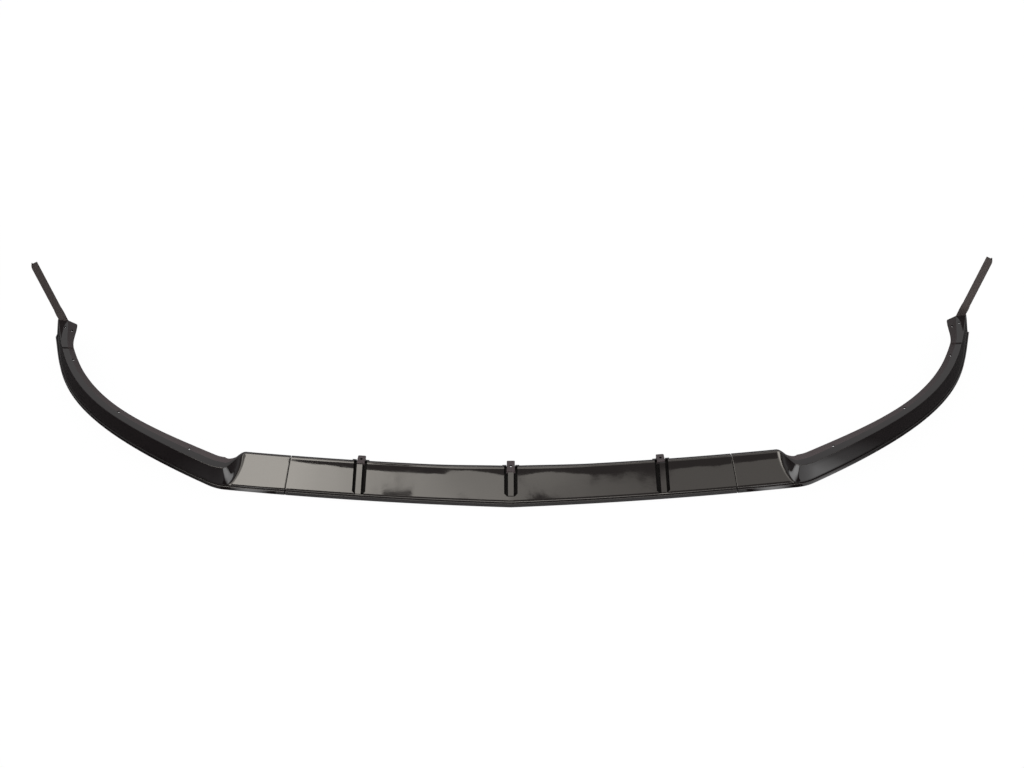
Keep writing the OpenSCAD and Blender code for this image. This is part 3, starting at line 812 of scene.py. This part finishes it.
@dataclass
class MountPoint:
    """One recess in the face, with its rib and the drilled tab on top."""

    shop: Workshop
    s: float
    foot: float
    tab_front: float
    tab_len: float
    hole_set: float
    shift: float = 0.0
    recess_w: float = 23.4
    recess_d: float = 7.0
    recess_cut: float = 5.0
    cut_grow: float = 0.4
    tray_set: float = 2.0
    tray_drop: float = 0.4
    tray_reach: float = 6.5
    back: float = 3.0
    notch_play: float = 0.5
    rib_w: float = 9.6
    rib_wall: float = 2.6
    rib_roof: float = 4.4
    rib_drop: float = 0.6
    rib_foot: float = 1.2
    rib_sink: float = 1.0
    core_foot: float = 5.0
    core_top: float = 24.0
    tab_w: float = 14.0
    tab_t: float = 3.0
    tab_drop: float = 2.0
    tab_edge: float = 0.45
    corner: float = 2.0
    corner_points: int = 7
    block_set: float = 1.0
    block_len: float = 12.0
    block_h: float = 7.0
    block_flare: float = 1.0
    block_drop: float = 0.6
    hole_r: float = 2.25
    drill_down: float = 21.0
    drill_up: float = 7.0

    def __post_init__(self) -> None:
        """Works out the frames that it stands in, the heights and the rib's middle."""
        self.face, self.ground = self.shop.on_face(self.s), self.shop.upright(self.s)
        self.face_len, _ = self.shop.slope(self.s)
        self.section = self.shop.section
        self.run = float(self.section.run(self.s))
        self.tab_top = self.section.lip_h - self.tab_drop
        self.middle = math.copysign(self.shift, self.s)

    def outline(self, grow: float) -> np.ndarray:
        """Recess outline with cut lower corners, widened all round by grow."""
        h, top = self.recess_w / 2 + grow, 2 * self.face_len
        low, c = self.foot - grow, self.recess_cut + grow * self.cut_grow
        corners = [[c - h, low], [h - c, low], [h, low + c], [h, top], [-h, top], [-h, low + c]]
        return np.array(corners)

    def limit(self, drop: float) -> bpy.types.Object:
        """Box that keeps what lies under the top of the lip and near the face's top edge."""
        outline = box(-self.recess_w, self.recess_w, 0, self.run + self.tray_reach)
        return self.shop.prism(outline, 0, self.section.lip_h - drop, self.ground, Skin.GLOSS)

    def tray(self) -> bpy.types.Object:
        """Block behind the face that closes the recess."""
        wall = self.section.wall
        low = -self.recess_d - wall
        block = self.shop.prism(self.outline(wall), low, -self.tray_set, self.face)
        self.shop.keep(block, self.limit(self.tray_drop))
        return block

    def cavity(self) -> bpy.types.Object:
        """What is cut out before the tray: it stops at an upright wall, notched for the tab."""
        shop, lip_h = self.shop, self.section.lip_h
        # Painted shade: the cut faces take the near-black raw skin, so the recess reads dark.
        space = shop.prism(self.outline(0), -self.recess_d, 2 * self.recess_d, self.face)
        rear = self.run + self.tray_reach - self.back
        front = box(-self.recess_w, self.recess_w, -self.section.face_run, rear)
        shop.keep(space, shop.prism(front, 0, 3 * lip_h, self.ground))
        half = self.tab_w / 2 + self.notch_play
        notch = box(-half, half, self.run, self.run + 2 * self.tray_reach)
        low = self.tab_top - self.tab_t / 2
        shop.join(space, shop.prism(notch, low, low + lip_h, self.ground))
        return space

    def core(self) -> bpy.types.Object:
        """Slot that cores the rib from behind."""
        half = self.rib_w / 2 - self.rib_wall
        low, high = self.foot + self.core_foot, self.core_foot + self.face_len - self.core_top
        outline = box(self.middle - half, self.middle + half, low, high)
        bottom = -2 * (self.recess_d + self.section.wall)
        return self.shop.prism(outline, bottom, -self.rib_drop - self.rib_roof, self.face)

    def rib(self) -> bpy.types.Object:
        """Rib that stands in the recess, cored from behind."""
        half, low = self.rib_w / 2, self.foot + self.rib_foot
        outline = box(self.middle - half, self.middle + half, low, low + self.face_len)
        sunk = -self.recess_d - self.rib_sink
        bar = self.shop.prism(outline, sunk, -self.rib_drop, self.face, Skin.GLOSS)
        self.shop.keep(bar, self.limit(self.tab_drop + self.tab_t / 2))
        self.shop.cut(bar, self.core())
        return bar

    def plate_outline(self, ease: float) -> np.ndarray:
        """Rounded rectangle: quarter circles round four centres, pulled in by ease."""
        r = self.corner
        x, y = self.tab_w / 2 - r, self.tab_len - r
        centres = np.array([[x, y], [-x, y], [-x, r], [x, r]])
        turn = np.linspace(0, 90, self.corner_points)
        angle = np.radians(np.arange(4)[:, None] * 90 + turn)
        arc = np.stack([np.cos(angle), np.sin(angle)], axis=-1) * (r - ease)
        return (centres[:, None, :] + arc).reshape(-1, 2)

    def tab(self) -> bpy.types.Object:
        """Level plate with eased edges on a short block with flared cheeks."""
        half, top, ease = self.tab_w / 2, self.tab_top, self.tab_edge
        low = top - self.tab_t
        pose = self.ground.moved(0, self.tab_front, 0)
        rings = []
        for pull, z in ((ease, low), (0, low + ease), (0, top - ease), (ease, top)):
            outline = self.plate_outline(pull)
            rings.append(np.column_stack([outline, np.full(len(outline), z)]))
        plate = self.shop.loft("tab", pose.apply(np.stack(rings)), Skin.SATIN.value, Skin.SATIN)
        wide, foot, head = half + self.block_flare, top - self.block_h, top - self.block_drop
        cheeks = np.array([[-wide, foot], [wide, foot], [half, head], [-half, head]])
        x, y, z = pose.axes
        end = pose.apply(np.array([0, self.block_set + self.block_len, 0.0]))
        turned = Pose(end, np.array([x, z, -y]))
        self.shop.join(plate, self.shop.prism(cheeks, 0, self.block_len, turned, Skin.SATIN))
        return plate

    def drill(self) -> bpy.types.Object:
        """What is drilled through the tab and all that lies under it."""
        pose = self.ground.moved(0, self.tab_front + self.hole_set, self.tab_top)
        return self.shop.prism(circle(self.hole_r), -self.drill_down, self.drill_up, pose)


@dataclass
class LapJoint:
    """Tongue behind the seam and the screw bosses of the side section."""

    shop: Workshop
    side: int
    tongue_len: float = 28.0
    tongue_t: float = 2.6
    lap_gap: float = 1.2
    clearance: float = 0.3
    low: float = 6.0
    high: float = 56.0
    root: float = 20.0
    shoulder: float = 2.0
    inset: float = 1.0
    boss_r: float = 3.8
    boss_base: float = 1.8
    screw_r: float = 1.9
    screw_inset: float = 14.0
    screw_v: tuple[float, float] = (0.28, 0.7)
    pilot_floor: float = 2.0
    over: float = 1.0

    def __post_init__(self) -> None:
        """Works out the frame at the seam, the screws' frames and the tongue's back."""
        seam = self.shop.section.rim.seam_s
        self.pose = self.shop.on_face(seam).flipped(self.side)
        length, self.angle = self.shop.slope(seam)
        self.screws = [self.pose.moved(self.screw_inset, v * length, 0) for v in self.screw_v]
        self.back = self.shop.section.wall + self.lap_gap + self.tongue_t

    def faced(self, outline: np.ndarray) -> np.ndarray:
        """The outline, turned round on the mirrored side so that its faces point outwards."""
        return outline[::-1] if self.side < 0 else outline

    def edge(self, y: float) -> list[float]:
        """Point of the slanted shoulder at a height up the face."""
        section = self.shop.section
        depth = section.foot_u + y * math.cos(self.angle)
        return [-self.shoulder - section.rim.seam_skew * depth, y]

    def tongue(self) -> bpy.types.Object:
        """Plate behind both sheets, on a root that stops short of the slanted seam."""
        shop, back = self.shop, self.back
        start = self.inset - self.root
        low, high = self.low + self.inset, self.high - self.inset
        root = np.array([[start, low], self.edge(low), self.edge(high), [start, high]])
        outline = self.faced(box(-self.root, self.tongue_len, self.low, self.high))
        plate = shop.prism(outline, -back, self.tongue_t - back, self.pose)
        front = -shop.section.wall / 2
        step = shop.prism(self.faced(root), self.tongue_t / 2 - back, front, self.pose)
        shop.join(plate, step)
        ring = self.faced(circle(self.boss_r + self.clearance))
        for screw in self.screws:
            shop.cut(plate, shop.prism(ring, -back - self.over, -self.over, screw))
        return plate

    def add_bosses(self, piece: bpy.types.Object) -> None:
        """Adds the bosses that the screws go into, each with its blind pilot hole."""
        shop, back = self.shop, self.back
        front = -shop.section.wall / 2
        spigot, base, pilot = (
            self.faced(circle(r))
            for r in (self.boss_r, self.boss_r + self.boss_base, self.screw_r)
        )
        for screw in self.screws:
            shop.join(piece, shop.prism(base, self.tongue_t - back, front, screw))
            shop.join(piece, shop.prism(spigot, -back, front, screw))
            shop.cut(piece, shop.prism(pilot, -back - self.over, -self.pilot_floor, screw))


@dataclass
class CentreMoulding:
    """The middle of the lip between the two seams."""

    shop: Workshop
    seam_gap: float = 0.9
    pitch: float = 6.0
    end_lead: float = 2.0
    tab_lead: float = 130.0
    rib_shift: float = 1.2
    nose_tab_set: float = 7.0

    def mount_points(self) -> list[MountPoint]:
        """The middle recess, and one on either side of it."""
        shop, section = self.shop, self.shop.section
        front = section.nose_run - self.nose_tab_set
        points = [MountPoint(shop, 0.0, foot=10.0, tab_front=front, tab_len=26.0, hole_set=12.3)]
        place = section.rim.seam_s - self.tab_lead
        sizes = {"foot": 1.2, "tab_front": section.face_run, "tab_len": 18.5, "hole_set": 9.3}
        points += [MountPoint(shop, x, shift=self.rib_shift, **sizes) for x in (place, -place)]
        return points

    def build(self) -> bpy.types.Object:
        """The sheet with its trays, less the recesses, plus ribs, tabs and tongues."""
        shop, section = self.shop, self.shop.section
        end = section.rim.seam_s - self.seam_gap / 2
        run = spread(0, end - self.end_lead, self.pitch)
        half = np.concatenate([run, rounded_end(end, -1)[::-1]])
        s = np.concatenate([-half[:0:-1], half])
        piece = shop.loft("centre_moulding", *sheet_rings(section, s))
        points = self.mount_points()
        for point in points:
            shop.join(piece, point.tray())
        for point in points:
            shop.cut(piece, point.cavity())
            shop.cut(piece, point.core())
        for point in points:
            shop.join(piece, point.rib())
            shop.join(piece, point.tab())
            shop.cut(piece, point.drill())
        for side in (1, -1):
            shop.join(piece, LapJoint(shop, side).tongue())
        shop.finish(piece, "centre_section")
        return piece


@dataclass
class Arm:
    """Arm along the wheel arch: it rises across the rear end and turns its face forward."""

    shop: Workshop
    top: float = 151.0
    width: float = 14.4
    thick: float = 3.0
    out: float = 50.0
    back: float = 52.0
    set_in: float = 0.02
    twist_end: float = 0.2
    twist_points: int = 17
    bevel: float = 0.6
    root_grow: float = 2.0
    root_depth: float = 10.0
    root_lead: float = 2.0
    upper: tuple[float, ...] = (0.35, 0.5, 0.65, 0.8, 0.92, 0.95, 0.975, 0.985)
    tip_cut: tuple[float, ...] = (0.8, 2.2, 3.4)
    spike: tuple[float, float] = (0.97, 1.0)
    spike_out: tuple[float, float] = (2.5, 3.8)
    spike_in: tuple[float, float] = (6.0, 5.6)

    def __post_init__(self) -> None:
        """Works out the root, the direction and the width at root and tip."""
        section = self.shop.section
        depth = section.rear_lean + self.root_depth
        self.root = section.rim.spot(section.rim.length - self.root_lead, depth)
        self.base_z = section.pad_top
        self.rise = self.top - self.base_z
        self.run = unit(np.array([self.out, self.back, self.rise]))
        self.root_wide = unit(np.array([-0.99, -0.13, 0.0]))
        self.tip_wide = unit(np.array([-0.87, 0.45, 0.2]))

    def rings(self, t: np.ndarray, outer: np.ndarray, inner: np.ndarray) -> np.ndarray:
        """Eight-point rings: a flat bar with bevelled edges, turned from root to tip.

        Args:
            t: share of the way up the arm, one per ring.
            outer: half-width on the outer side.
            inner: half-width on the inner side.

        Returns:
            The rings.
        """
        t = np.asarray(t, dtype=float)[:, None]
        wide = unit(mix(self.root_wide, self.tip_wide, blend(0, self.twist_end, t)))
        normal = unit(np.cross(np.broadcast_to(self.run, wide.shape), wide))
        travel = np.concatenate([self.out * t, self.back * t, self.base_z + self.rise * t], axis=1)
        h, c = self.thick / 2, self.bevel
        o, i = np.asarray(outer)[:, None], np.asarray(inner)[:, None]
        across = np.concatenate([-o, c - o, i - c, i, i, i - c, c - o, -o], axis=1)
        through = np.array([h - c, h, h, h - c, c - h, -h, -h, c - h])
        bar = wide[:, None, :] * across[..., None] + normal[:, None, :] * through[:, None]
        return (self.root + travel)[:, None, :] + bar

    def build(self, side: int) -> bpy.types.Object:
        """The bar with its rounded tip and the small spike on it."""
        half = self.width / 2
        low = np.linspace(0, self.twist_end, self.twist_points)
        flare = half + self.root_grow * (1 - low / self.twist_end)
        t = np.concatenate([[-self.set_in], low, self.upper])
        inner = np.concatenate([[flare[0]], flare, np.full(len(self.upper), half)])
        outer = inner.copy()
        outer[-len(self.tip_cut) :] -= self.tip_cut
        spike = half - np.array(self.spike_out), np.array(self.spike_in) - half
        flip = np.array([side, 1.0, 1.0])
        bar, tip = (
            self.shop.loft("arm", (rings * flip)[:, ::side], Skin.SATIN.value, Skin.SATIN)
            for rings in (self.rings(t, outer, inner), self.rings(self.spike, *spike))
        )
        self.shop.join(bar, tip)
        return bar


@dataclass
class SideMoulding:
    """One side of the lip: scoop, wall, flange, end pad and arm."""

    shop: Workshop
    side: int
    seam_gap: float = 0.9
    end_lead: float = 2.0
    scoop_lag: float = 6.0
    bend_end: float = 560.0
    pitches: tuple[float, ...] = (5.0, 1.0, 2.5, 5.0, 0.2, 4.0)
    hole_r: float = 2.25
    hole_set: float = 2.5
    hole_down: float = 12.0
    front_hole_lag: float = 65.8
    rear_hole_lead: float = 43.0
    middle_hole_share: float = 0.47
    pad_holes: Rows = ((33.0, 35.0), (24.0, 23.5))
    corner_len: float = 13.5
    corner_w: float = 18.5
    corner_lead: float = 1.0
    corner_cut: float = 9.0
    tooth_count: int = 4
    tooth_t: float = 1.6
    tooth_len: float = 6.0
    tooth_drop: float = 2.0
    tooth_sink: float = 1.0
    tooth_spare: float = 0.5

    def __post_init__(self) -> None:
        """Takes the section and the lap joint, and names the side as seen from the front."""
        self.section = self.shop.section
        self.joint = LapJoint(self.shop, self.side)
        self.name = "right" if self.side > 0 else "left"

    def stations(self) -> np.ndarray:
        """Places along the rim, in rising order of x: close in the scoop and at the step."""
        section, rim = self.section, self.section.rim
        first, step = rim.seam_s + self.seam_gap / 2, rim.pad_step_s
        stops = (
            first + self.end_lead,
            section.scoop_start - self.end_lead,
            section.scoop_end + self.scoop_lag,
            self.bend_end,
            step - section.step_half,
            step + section.step_half,
            rim.length - self.end_lead,
        )
        runs = [spread(*ends)[1:] for ends in zip(stops, stops[1:], self.pitches)]
        start = np.append(rounded_end(first, 1), stops[0])
        s = np.concatenate([start, *runs, rounded_end(rim.length, -1)[::-1]])
        return (s * self.side)[:: self.side]

    def hole(self, s: float, u: float) -> bpy.types.Object:
        """Drill for a hole in the flange or the pad."""
        centre = self.section.rim.spot(s, u) * [self.side, 1, 1]
        pose = Pose(centre + UP * self.section.lip_h, np.eye(3))
        return self.shop.prism(circle(self.hole_r), -self.hole_down, self.hole_down, pose)

    def corner(self) -> tuple[Pose, float]:
        """Frame along the slanted rear corner of the pad, and the corner's length."""
        section, rim = self.section, self.section.rim
        edge = section.rear_lean + section.pad_w
        outer = rim.spot(rim.length - self.corner_lead, edge - self.corner_w)
        inner = rim.spot(rim.length - self.corner_len, edge)
        along = unit(inner - outer)
        axes = np.array([along, [-along[1], along[0], 0.0], UP])
        pose = Pose(outer + UP * section.pad_top, axes).flipped(self.side)
        return pose, float(np.linalg.norm(inner - outer))

    def cut_corner(self, piece: bpy.types.Object) -> None:
        """Cuts the pad's rear corner off at a slant, and puts small teeth under it."""
        shop, faced, wall = self.shop, self.joint.faced, self.section.wall
        pose, span = self.corner()
        deep = self.corner_cut
        cut = faced(box(0, 3 * span, -3 * span, 0))
        shop.cut(piece, shop.prism(cut, -deep, deep, pose, Skin.SATIN))
        low = -wall - self.tooth_drop
        teeth = np.arange(self.tooth_count) + 1 - self.tooth_spare / 2
        for x in teeth * span / (self.tooth_count + self.tooth_spare):
            tooth = faced(box(x - self.tooth_t / 2, x + self.tooth_t / 2, 0, self.tooth_len))
            high = low + wall + self.tooth_sink
            shop.join(piece, shop.prism(tooth, low, high, pose, Skin.SATIN))

    def drill(self, piece: bpy.types.Object) -> None:
        """Drills the flange's three holes and the pad's two."""
        section, rim = self.section, self.section.rim
        front = rim.fold_s + self.front_hole_lag
        rear = rim.pad_step_s - self.rear_hole_lead
        for s in (front, mix(front, rear, self.middle_hole_share), rear):
            u = float(section.face_u(s, 1.0) + self.hole_set + section.flange(s) / 2)
            self.shop.cut(piece, self.hole(s, u))
        for lead, u in self.pad_holes:
            self.shop.cut(piece, self.hole(rim.length - lead, u))

    def build(self) -> bpy.types.Object:
        """The sheet with its bosses, teeth and holes, plus the arm."""
        rings = sheet_rings(self.section, self.stations())
        piece = self.shop.loft(f"{self.name}_moulding", *rings)
        self.joint.add_bosses(piece)
        self.cut_corner(piece)
        self.drill(piece)
        self.shop.join(piece, Arm(self.shop).build(self.side))
        self.shop.finish(piece, f"side_section_{self.name}")
        return piece


@dataclass(frozen=True)
class Sky:
    """What the gloss reflects in front: a glow that fades to the right, under a dark band.

    Azimuths are in degrees from straight ahead of the nose, positive to the right. Each row of
    glow is (azimuth, radiance); each row of edge is (azimuth, elevation of the glow's top) and
    each row of foot (azimuth, elevation of its bottom). The rows of low are the radiance under
    low_top, and over is the radiance above over_from.
    """

    radius: float = 40.0
    azimuth: tuple[float, float] = (-70.0, 70.0)
    elevation: tuple[float, float] = (0.5, 82.0)
    tint: tuple[float, float, float] = (1.05, 1.0, 0.915)
    glow: Rows = (
        (-70.0, 7.0), (-35.0, 9.3), (-24.0, 9.5), (-18.0, 6.6), (-13.0, 5.3), (-8.0, 4.2),
        (-2.0, 3.4), (5.0, 3.1), (9.0, 2.5), (13.0, 2.0), (19.0, 1.7), (28.0, 1.7), (70.0, 1.2),
    )
    edge: Rows = (
        (-70.0, 52.0), (-29.0, 50.0), (-25.0, 46.0), (-18.0, 45.0), (-13.0, 45.1), (-9.9, 46.3),
        (-8.8, 48.9), (-5.5, 50.8), (0.0, 52.0), (4.0, 51.0), (6.0, 48.9), (7.8, 46.5),
        (11.0, 44.9), (14.0, 44.3), (19.0, 43.9), (28.0, 43.7), (70.0, 43.6),
    )
    foot: Rows = (
        (-70.0, 20.0), (-17.9, 20.0), (-17.1, 43.65), (-14.2, 43.95), (-13.9, 20.0), (70.0, 20.0),
    )
    low: Rows = (
        (-70.0, 8.0), (-48.0, 9.0), (-32.0, 9.0), (-18.0, 7.0), (-8.0, 3.0), (8.0, 2.5),
        (18.0, 4.0), (32.0, 4.5), (48.0, 4.5), (70.0, 4.0),
    )
    low_top: tuple[float, float] = (26.0, 34.0)
    over: float = 6.5
    over_from: tuple[float, float] = (64.0, 68.0)
    dark: float = 0.35
    ragged: float = 1.5
    foot_ragged: float = 0.3
    soft: float = 0.08
    stretch: tuple[float, float, float] = (14.0, 1.5, 1.0)
    noise_scale: float = 2.4
    noise_detail: float = 8.0
    noise_roughness: float = 0.68
    grid: tuple[int, int] = (71, 83)

    def surface(self) -> tuple[np.ndarray, np.ndarray, np.ndarray]:
        """Part of a sphere: radius times (sin a cos e, -cos a cos e, sin e).

        Returns:
            Its points, its faces, and the UV of each face's corners, which is the share of the
            way over the azimuths and the elevations.
        """
        u, v = np.meshgrid(*(np.linspace(0, 1, n) for n in self.grid), indexing="ij")
        a = np.radians(mix(*self.azimuth, u))
        e = np.radians(mix(*self.elevation, v))
        place = np.stack([np.sin(a) * np.cos(e), -np.cos(a) * np.cos(e), np.sin(e)], axis=-1)
        index = np.arange(u.size).reshape(u.shape)
        corners = [index[:-1, :-1], index[:-1, 1:], index[1:, 1:], index[1:, :-1]]
        quads = np.stack(corners, axis=-1).reshape(-1, 4)
        uv = np.stack([u, v], axis=-1).reshape(-1, 2)[quads.ravel()]
        return self.radius * place, quads, uv

    def shine(self, graph: Graph) -> Socket:
        """The glow, with its dark band and its foot, worked out from the UV map."""
        uv = graph.add("UVMap", uv_map="sky").outputs[0]
        across = graph.part(uv, "X")
        span = self.elevation[1] - self.elevation[0]
        up = graph.math("MULTIPLY", graph.part(uv, "Y"), span)
        height = graph.math("ADD", up, self.elevation[0])
        wide = graph.add("VectorMath", {0: uv, 1: self.stretch}, operation="MULTIPLY").outputs[0]
        noise = graph.noise(wide, self.noise_scale, self.noise_detail, self.noise_roughness)
        stray = graph.math("SUBTRACT", noise, 0.5)

        def torn(depth: float) -> Socket:
            """The height, which strays by a depth either way."""
            return graph.math("ADD", height, graph.math("MULTIPLY", stray, 2 * depth))

        def past(value: Socket, span: tuple[float, float]) -> Socket:
            """How far a value is past a span."""
            return graph.share(value, span, "SMOOTHSTEP")

        band = (-self.soft, self.soft)
        above = graph.math("SUBTRACT", torn(self.ragged), graph.curve(across, self.edge))
        below = graph.math("SUBTRACT", graph.curve(across, self.foot), torn(self.foot_ragged))
        hidden = graph.math("MAXIMUM", past(above, band), past(below, band))
        low, high = graph.curve(across, self.low), graph.curve(across, self.glow)
        main = graph.between(past(height, self.low_top), low, high)
        banded = graph.between(hidden, main, self.dark)
        return graph.between(past(height, self.over_from), banded, self.over)


@dataclass
class Studio:
    """White floor, white surround, and the lights whose reflections shape the gloss."""

    floor_size: float = 16.0
    floor_drop: float = 0.0002
    floor_colour: tuple[float, float, float, float] = (0.8, 0.8, 0.8, 1.0)
    white_share: float = 0.93
    white: float = 1.035
    world_light: float = 0.8
    floor_glow: Rows = (
        (-1.2, 0.12), (-0.9, 0.035), (-0.62, 0.035), (-0.54, 0.16), (-0.46, 0.6), (0.46, 0.8),
        (0.56, 1.4), (0.61, 0.42), (0.68, 0.06), (0.9, 0.04), (1.2, 0.18),
    )
    pool_place: tuple[float, float, float] = (0.462, -0.248, 0.0005)
    pool_radius: float = 0.05
    pool_core: float = 0.45
    pool_strengths: tuple[float, float] = (4.0, 4.5)

    def stage(self, name: str, points: np.ndarray, faces: list) -> tuple[bpy.types.Object, Graph]:
        """A mesh that belongs to the stage, and the empty graph of its material."""
        mesh = bpy.data.meshes.new(name)
        mesh.from_pydata(points.reshape(-1, 3).tolist(), [], faces)
        material = bpy.data.materials.new(name)
        material.use_nodes = True
        material.node_tree.nodes.clear()
        mesh.materials.append(material)
        piece = bpy.data.objects.new(name, mesh)
        bpy.context.scene.collection.objects.link(piece)
        return piece, Graph(material.node_tree)

    def only_reflected(self, piece: bpy.types.Object) -> None:
        """Leaves a light in reflections alone, so that it adds no light to the object."""
        for kind in ("camera", "diffuse", "shadow", "transmission"):
            setattr(piece, f"visible_{kind}", False)

    def square(self, half: float, centre: tuple[float, float, float]) -> np.ndarray:
        """Corners of a level square round a centre."""
        return np.array(centre) + np.column_stack([box(-half, half, -half, half), np.zeros(4)])

    def pool(self, name: str, centre: tuple[float, float, float], strength: float) -> None:
        """A pool of light on the floor that fades out from its core."""
        radius = self.pool_radius
        piece, graph = self.stage(name, self.square(radius, centre), [[0, 1, 2, 3]])
        place = graph.add("TexCoord").outputs["Object"]
        away = graph.add("VectorMath", {0: place, 1: centre}, operation="DISTANCE")
        span = (radius, radius * self.pool_core)
        share = graph.share(away.outputs["Value"], span, "SMOOTHSTEP")
        light = graph.glow(graph.math("MULTIPLY", share, strength))
        graph.add("OutputMaterial", {"Surface": light})
        self.only_reflected(piece)

    def sky(self, sky: Sky) -> None:
        """The sphere's part whose glow and ragged upper edge the sloping face reflects."""
        points, quads, uv = sky.surface()
        piece, graph = self.stage("sky", points, quads.tolist())
        piece.data.uv_layers.new(name="sky").data.foreach_set("uv", uv.ravel())
        graph.add("OutputMaterial", {"Surface": graph.glow(sky.shine(graph), sky.tint)})
        self.only_reflected(piece)

    def floor(self) -> None:
        """Floor that looks white to the camera, keeps the shadow, and reflects a dim room."""
        corners = self.square(self.floor_size / 2, (0.0, 0.0, -self.floor_drop))
        _, graph = self.stage("floor", corners, [[0, 1, 2, 3]])
        path = graph.add("LightPath").outputs
        seen = graph.math("ADD", path["Is Camera Ray"], path["Is Transmission Ray"])
        shade = graph.add("BsdfDiffuse", {"Color": self.floor_colour}).outputs[0]
        whiten = {"Fac": graph.math("MULTIPLY", seen, self.white_share), 1: shade}
        view = graph.add("MixShader", {**whiten, 2: graph.glow(self.white)}).outputs[0]
        x = graph.part(graph.add("TexCoord").outputs["Object"], "X")
        first, last = self.floor_glow[0][0], self.floor_glow[-1][0]
        across = graph.math("MULTIPLY", graph.math("SUBTRACT", x, first), 1 / (last - first))
        room = graph.glow(graph.curve(across, self.floor_glow))
        both = {"Fac": path["Is Glossy Ray"], 1: view, 2: room}
        graph.add("OutputMaterial", {"Surface": graph.add("MixShader", both).outputs[0]})

    def surround(self) -> None:
        """White world for the camera and for reflections, and a plain level of light."""
        world = bpy.data.worlds.new("studio")
        bpy.context.scene.world = world
        world.use_nodes = True
        world.node_tree.nodes.clear()
        graph = Graph(world.node_tree)
        path = graph.add("LightPath").outputs
        seen = graph.math("ADD", path["Is Camera Ray"], path["Is Glossy Ray"])
        seen = graph.math("ADD", seen, path["Is Transmission Ray"])
        level = graph.between(graph.math("MINIMUM", seen, 1.0), self.world_light, 1.0)
        light = graph.add("Background", {"Color": (1.0, 1.0, 1.0, 1.0), "Strength": level})
        graph.add("OutputWorld", {"Surface": light.outputs[0]})

    def build(self) -> None:
        """Puts up the floor, the surround, the sky and the pools."""
        self.floor()
        self.surround()
        self.sky(Sky())
        x, y, z = self.pool_place
        for name, side, strength in zip(("left", "right"), (-1, 1), self.pool_strengths):
            self.pool(f"fold_pool_{name}", (side * x, y, z), strength)


@dataclass
class Eye:
    """The camera, fitted to the photograph: angles in degrees, places in metres."""

    tilt: float = 42.0
    distance: float = 3.2
    turn: float = 0.5635
    roll: float = -0.653
    focal_px: float = 1748.386
    centre_px: tuple[float, float] = (510.65, 391.73)
    target: tuple[float, float, float] = (0.0, 0.265, 0.03)
    image: tuple[int, int] = (1024, 768)
    sensor: float = 36.0
    clip: tuple[float, float] = (0.05, 60.0)

    def build(self, centre_y: float) -> None:
        """Places the camera: it looks down at tilt, turned about Z and rolled about its axis."""
        tilt, turn, roll = (math.radians(a) for a in (self.tilt, self.turn, self.roll))
        ahead, aside = np.array([-math.sin(turn), math.cos(turn), 0.0]), heading(self.turn)
        forward = ahead * math.cos(tilt) - UP * math.sin(tilt)
        level = np.array([*aside, 0.0])
        steep = np.cross(level, forward)
        right = level * math.cos(roll) + steep * math.sin(roll)
        up = steep * math.cos(roll) - level * math.sin(roll)
        aim = np.array(self.target) - [0, centre_y * MM, 0]
        width, height = self.image
        data = bpy.data.cameras.new("eye")
        data.sensor_width = self.sensor
        data.lens = self.focal_px * self.sensor / width
        data.shift_x = (width / 2 - self.centre_px[0] - 0.5) / width
        data.shift_y = (self.centre_px[1] + 0.5 - height / 2) / width
        data.clip_start, data.clip_end = self.clip
        camera = bpy.data.objects.new("eye", data)
        bpy.context.scene.collection.objects.link(camera)
        matrix = np.eye(4)
        matrix[:3] = np.column_stack([right, up, -forward, aim - forward * self.distance])
        camera.matrix_world = Matrix(matrix.tolist())
        bpy.context.scene.camera = camera


GLOSS_BLACK = Plastic(
    "gloss_black",
    colour=(0.0122, 0.0092, 0.0097),
    roughness=0.035,
    wave_size=0.07,
    wave_depth=0.16,
    grain_size=0.012,
    grain_depth=0.01,
    smear=0.12,
)
SATIN_BLACK = Plastic(
    "satin_black",
    colour=(0.07, 0.055, 0.057),
    roughness=0.5,
    wave_size=0.05,
    wave_depth=0.05,
    grain_size=0.0012,
    grain_depth=0.02,
    smear=0.3,
    shine=0.25,
    # painted shade: the satin darkens to this colour towards the rear
    rear=(0.02, 0.0135, 0.0145),
)
# Raw black: the unfinished back of the mouldings, and painted shade, as the same near-black,
# low-shine skin lines the recesses and the seams.
RAW_AND_SHADE_BLACK = Plastic(
    "raw_black_and_shade",
    colour=(0.0035, 0.003, 0.0032),
    roughness=0.6,
    wave_size=0.05,
    wave_depth=0.05,
    grain_size=0.0012,
    grain_depth=0.05,
    smear=0.5,
    shine=0.06,
)


def main() -> None:
    """Builds the mouldings, dresses the screws and sets up the studio and the camera."""
    logging.basicConfig(level=logging.INFO, format="%(name)s: %(message)s")
    bpy.context.scene.view_settings.view_transform = "Standard"
    effects = Effects()
    skins = [finish.build(effects) for finish in (GLOSS_BLACK, SATIN_BLACK, RAW_AND_SHADE_BLACK)]
    centre_y = -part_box("centre_section")[0][1] / MM
    shop = Workshop(Section(Rim()), skins, centre_y)
    CentreMoulding(shop).build()
    for side in (-1, 1):
        SideMoulding(shop, side).build()
    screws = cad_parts["joint_screws"]
    screws.data.materials.clear()
    screws.data.materials.append(ScrewSteel().build(effects))
    log.info("joint_screws: the CAD's own, in steel")
    Studio().build()
    Eye().build(centre_y)
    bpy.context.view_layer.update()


if __name__ == "__main__":
    main()
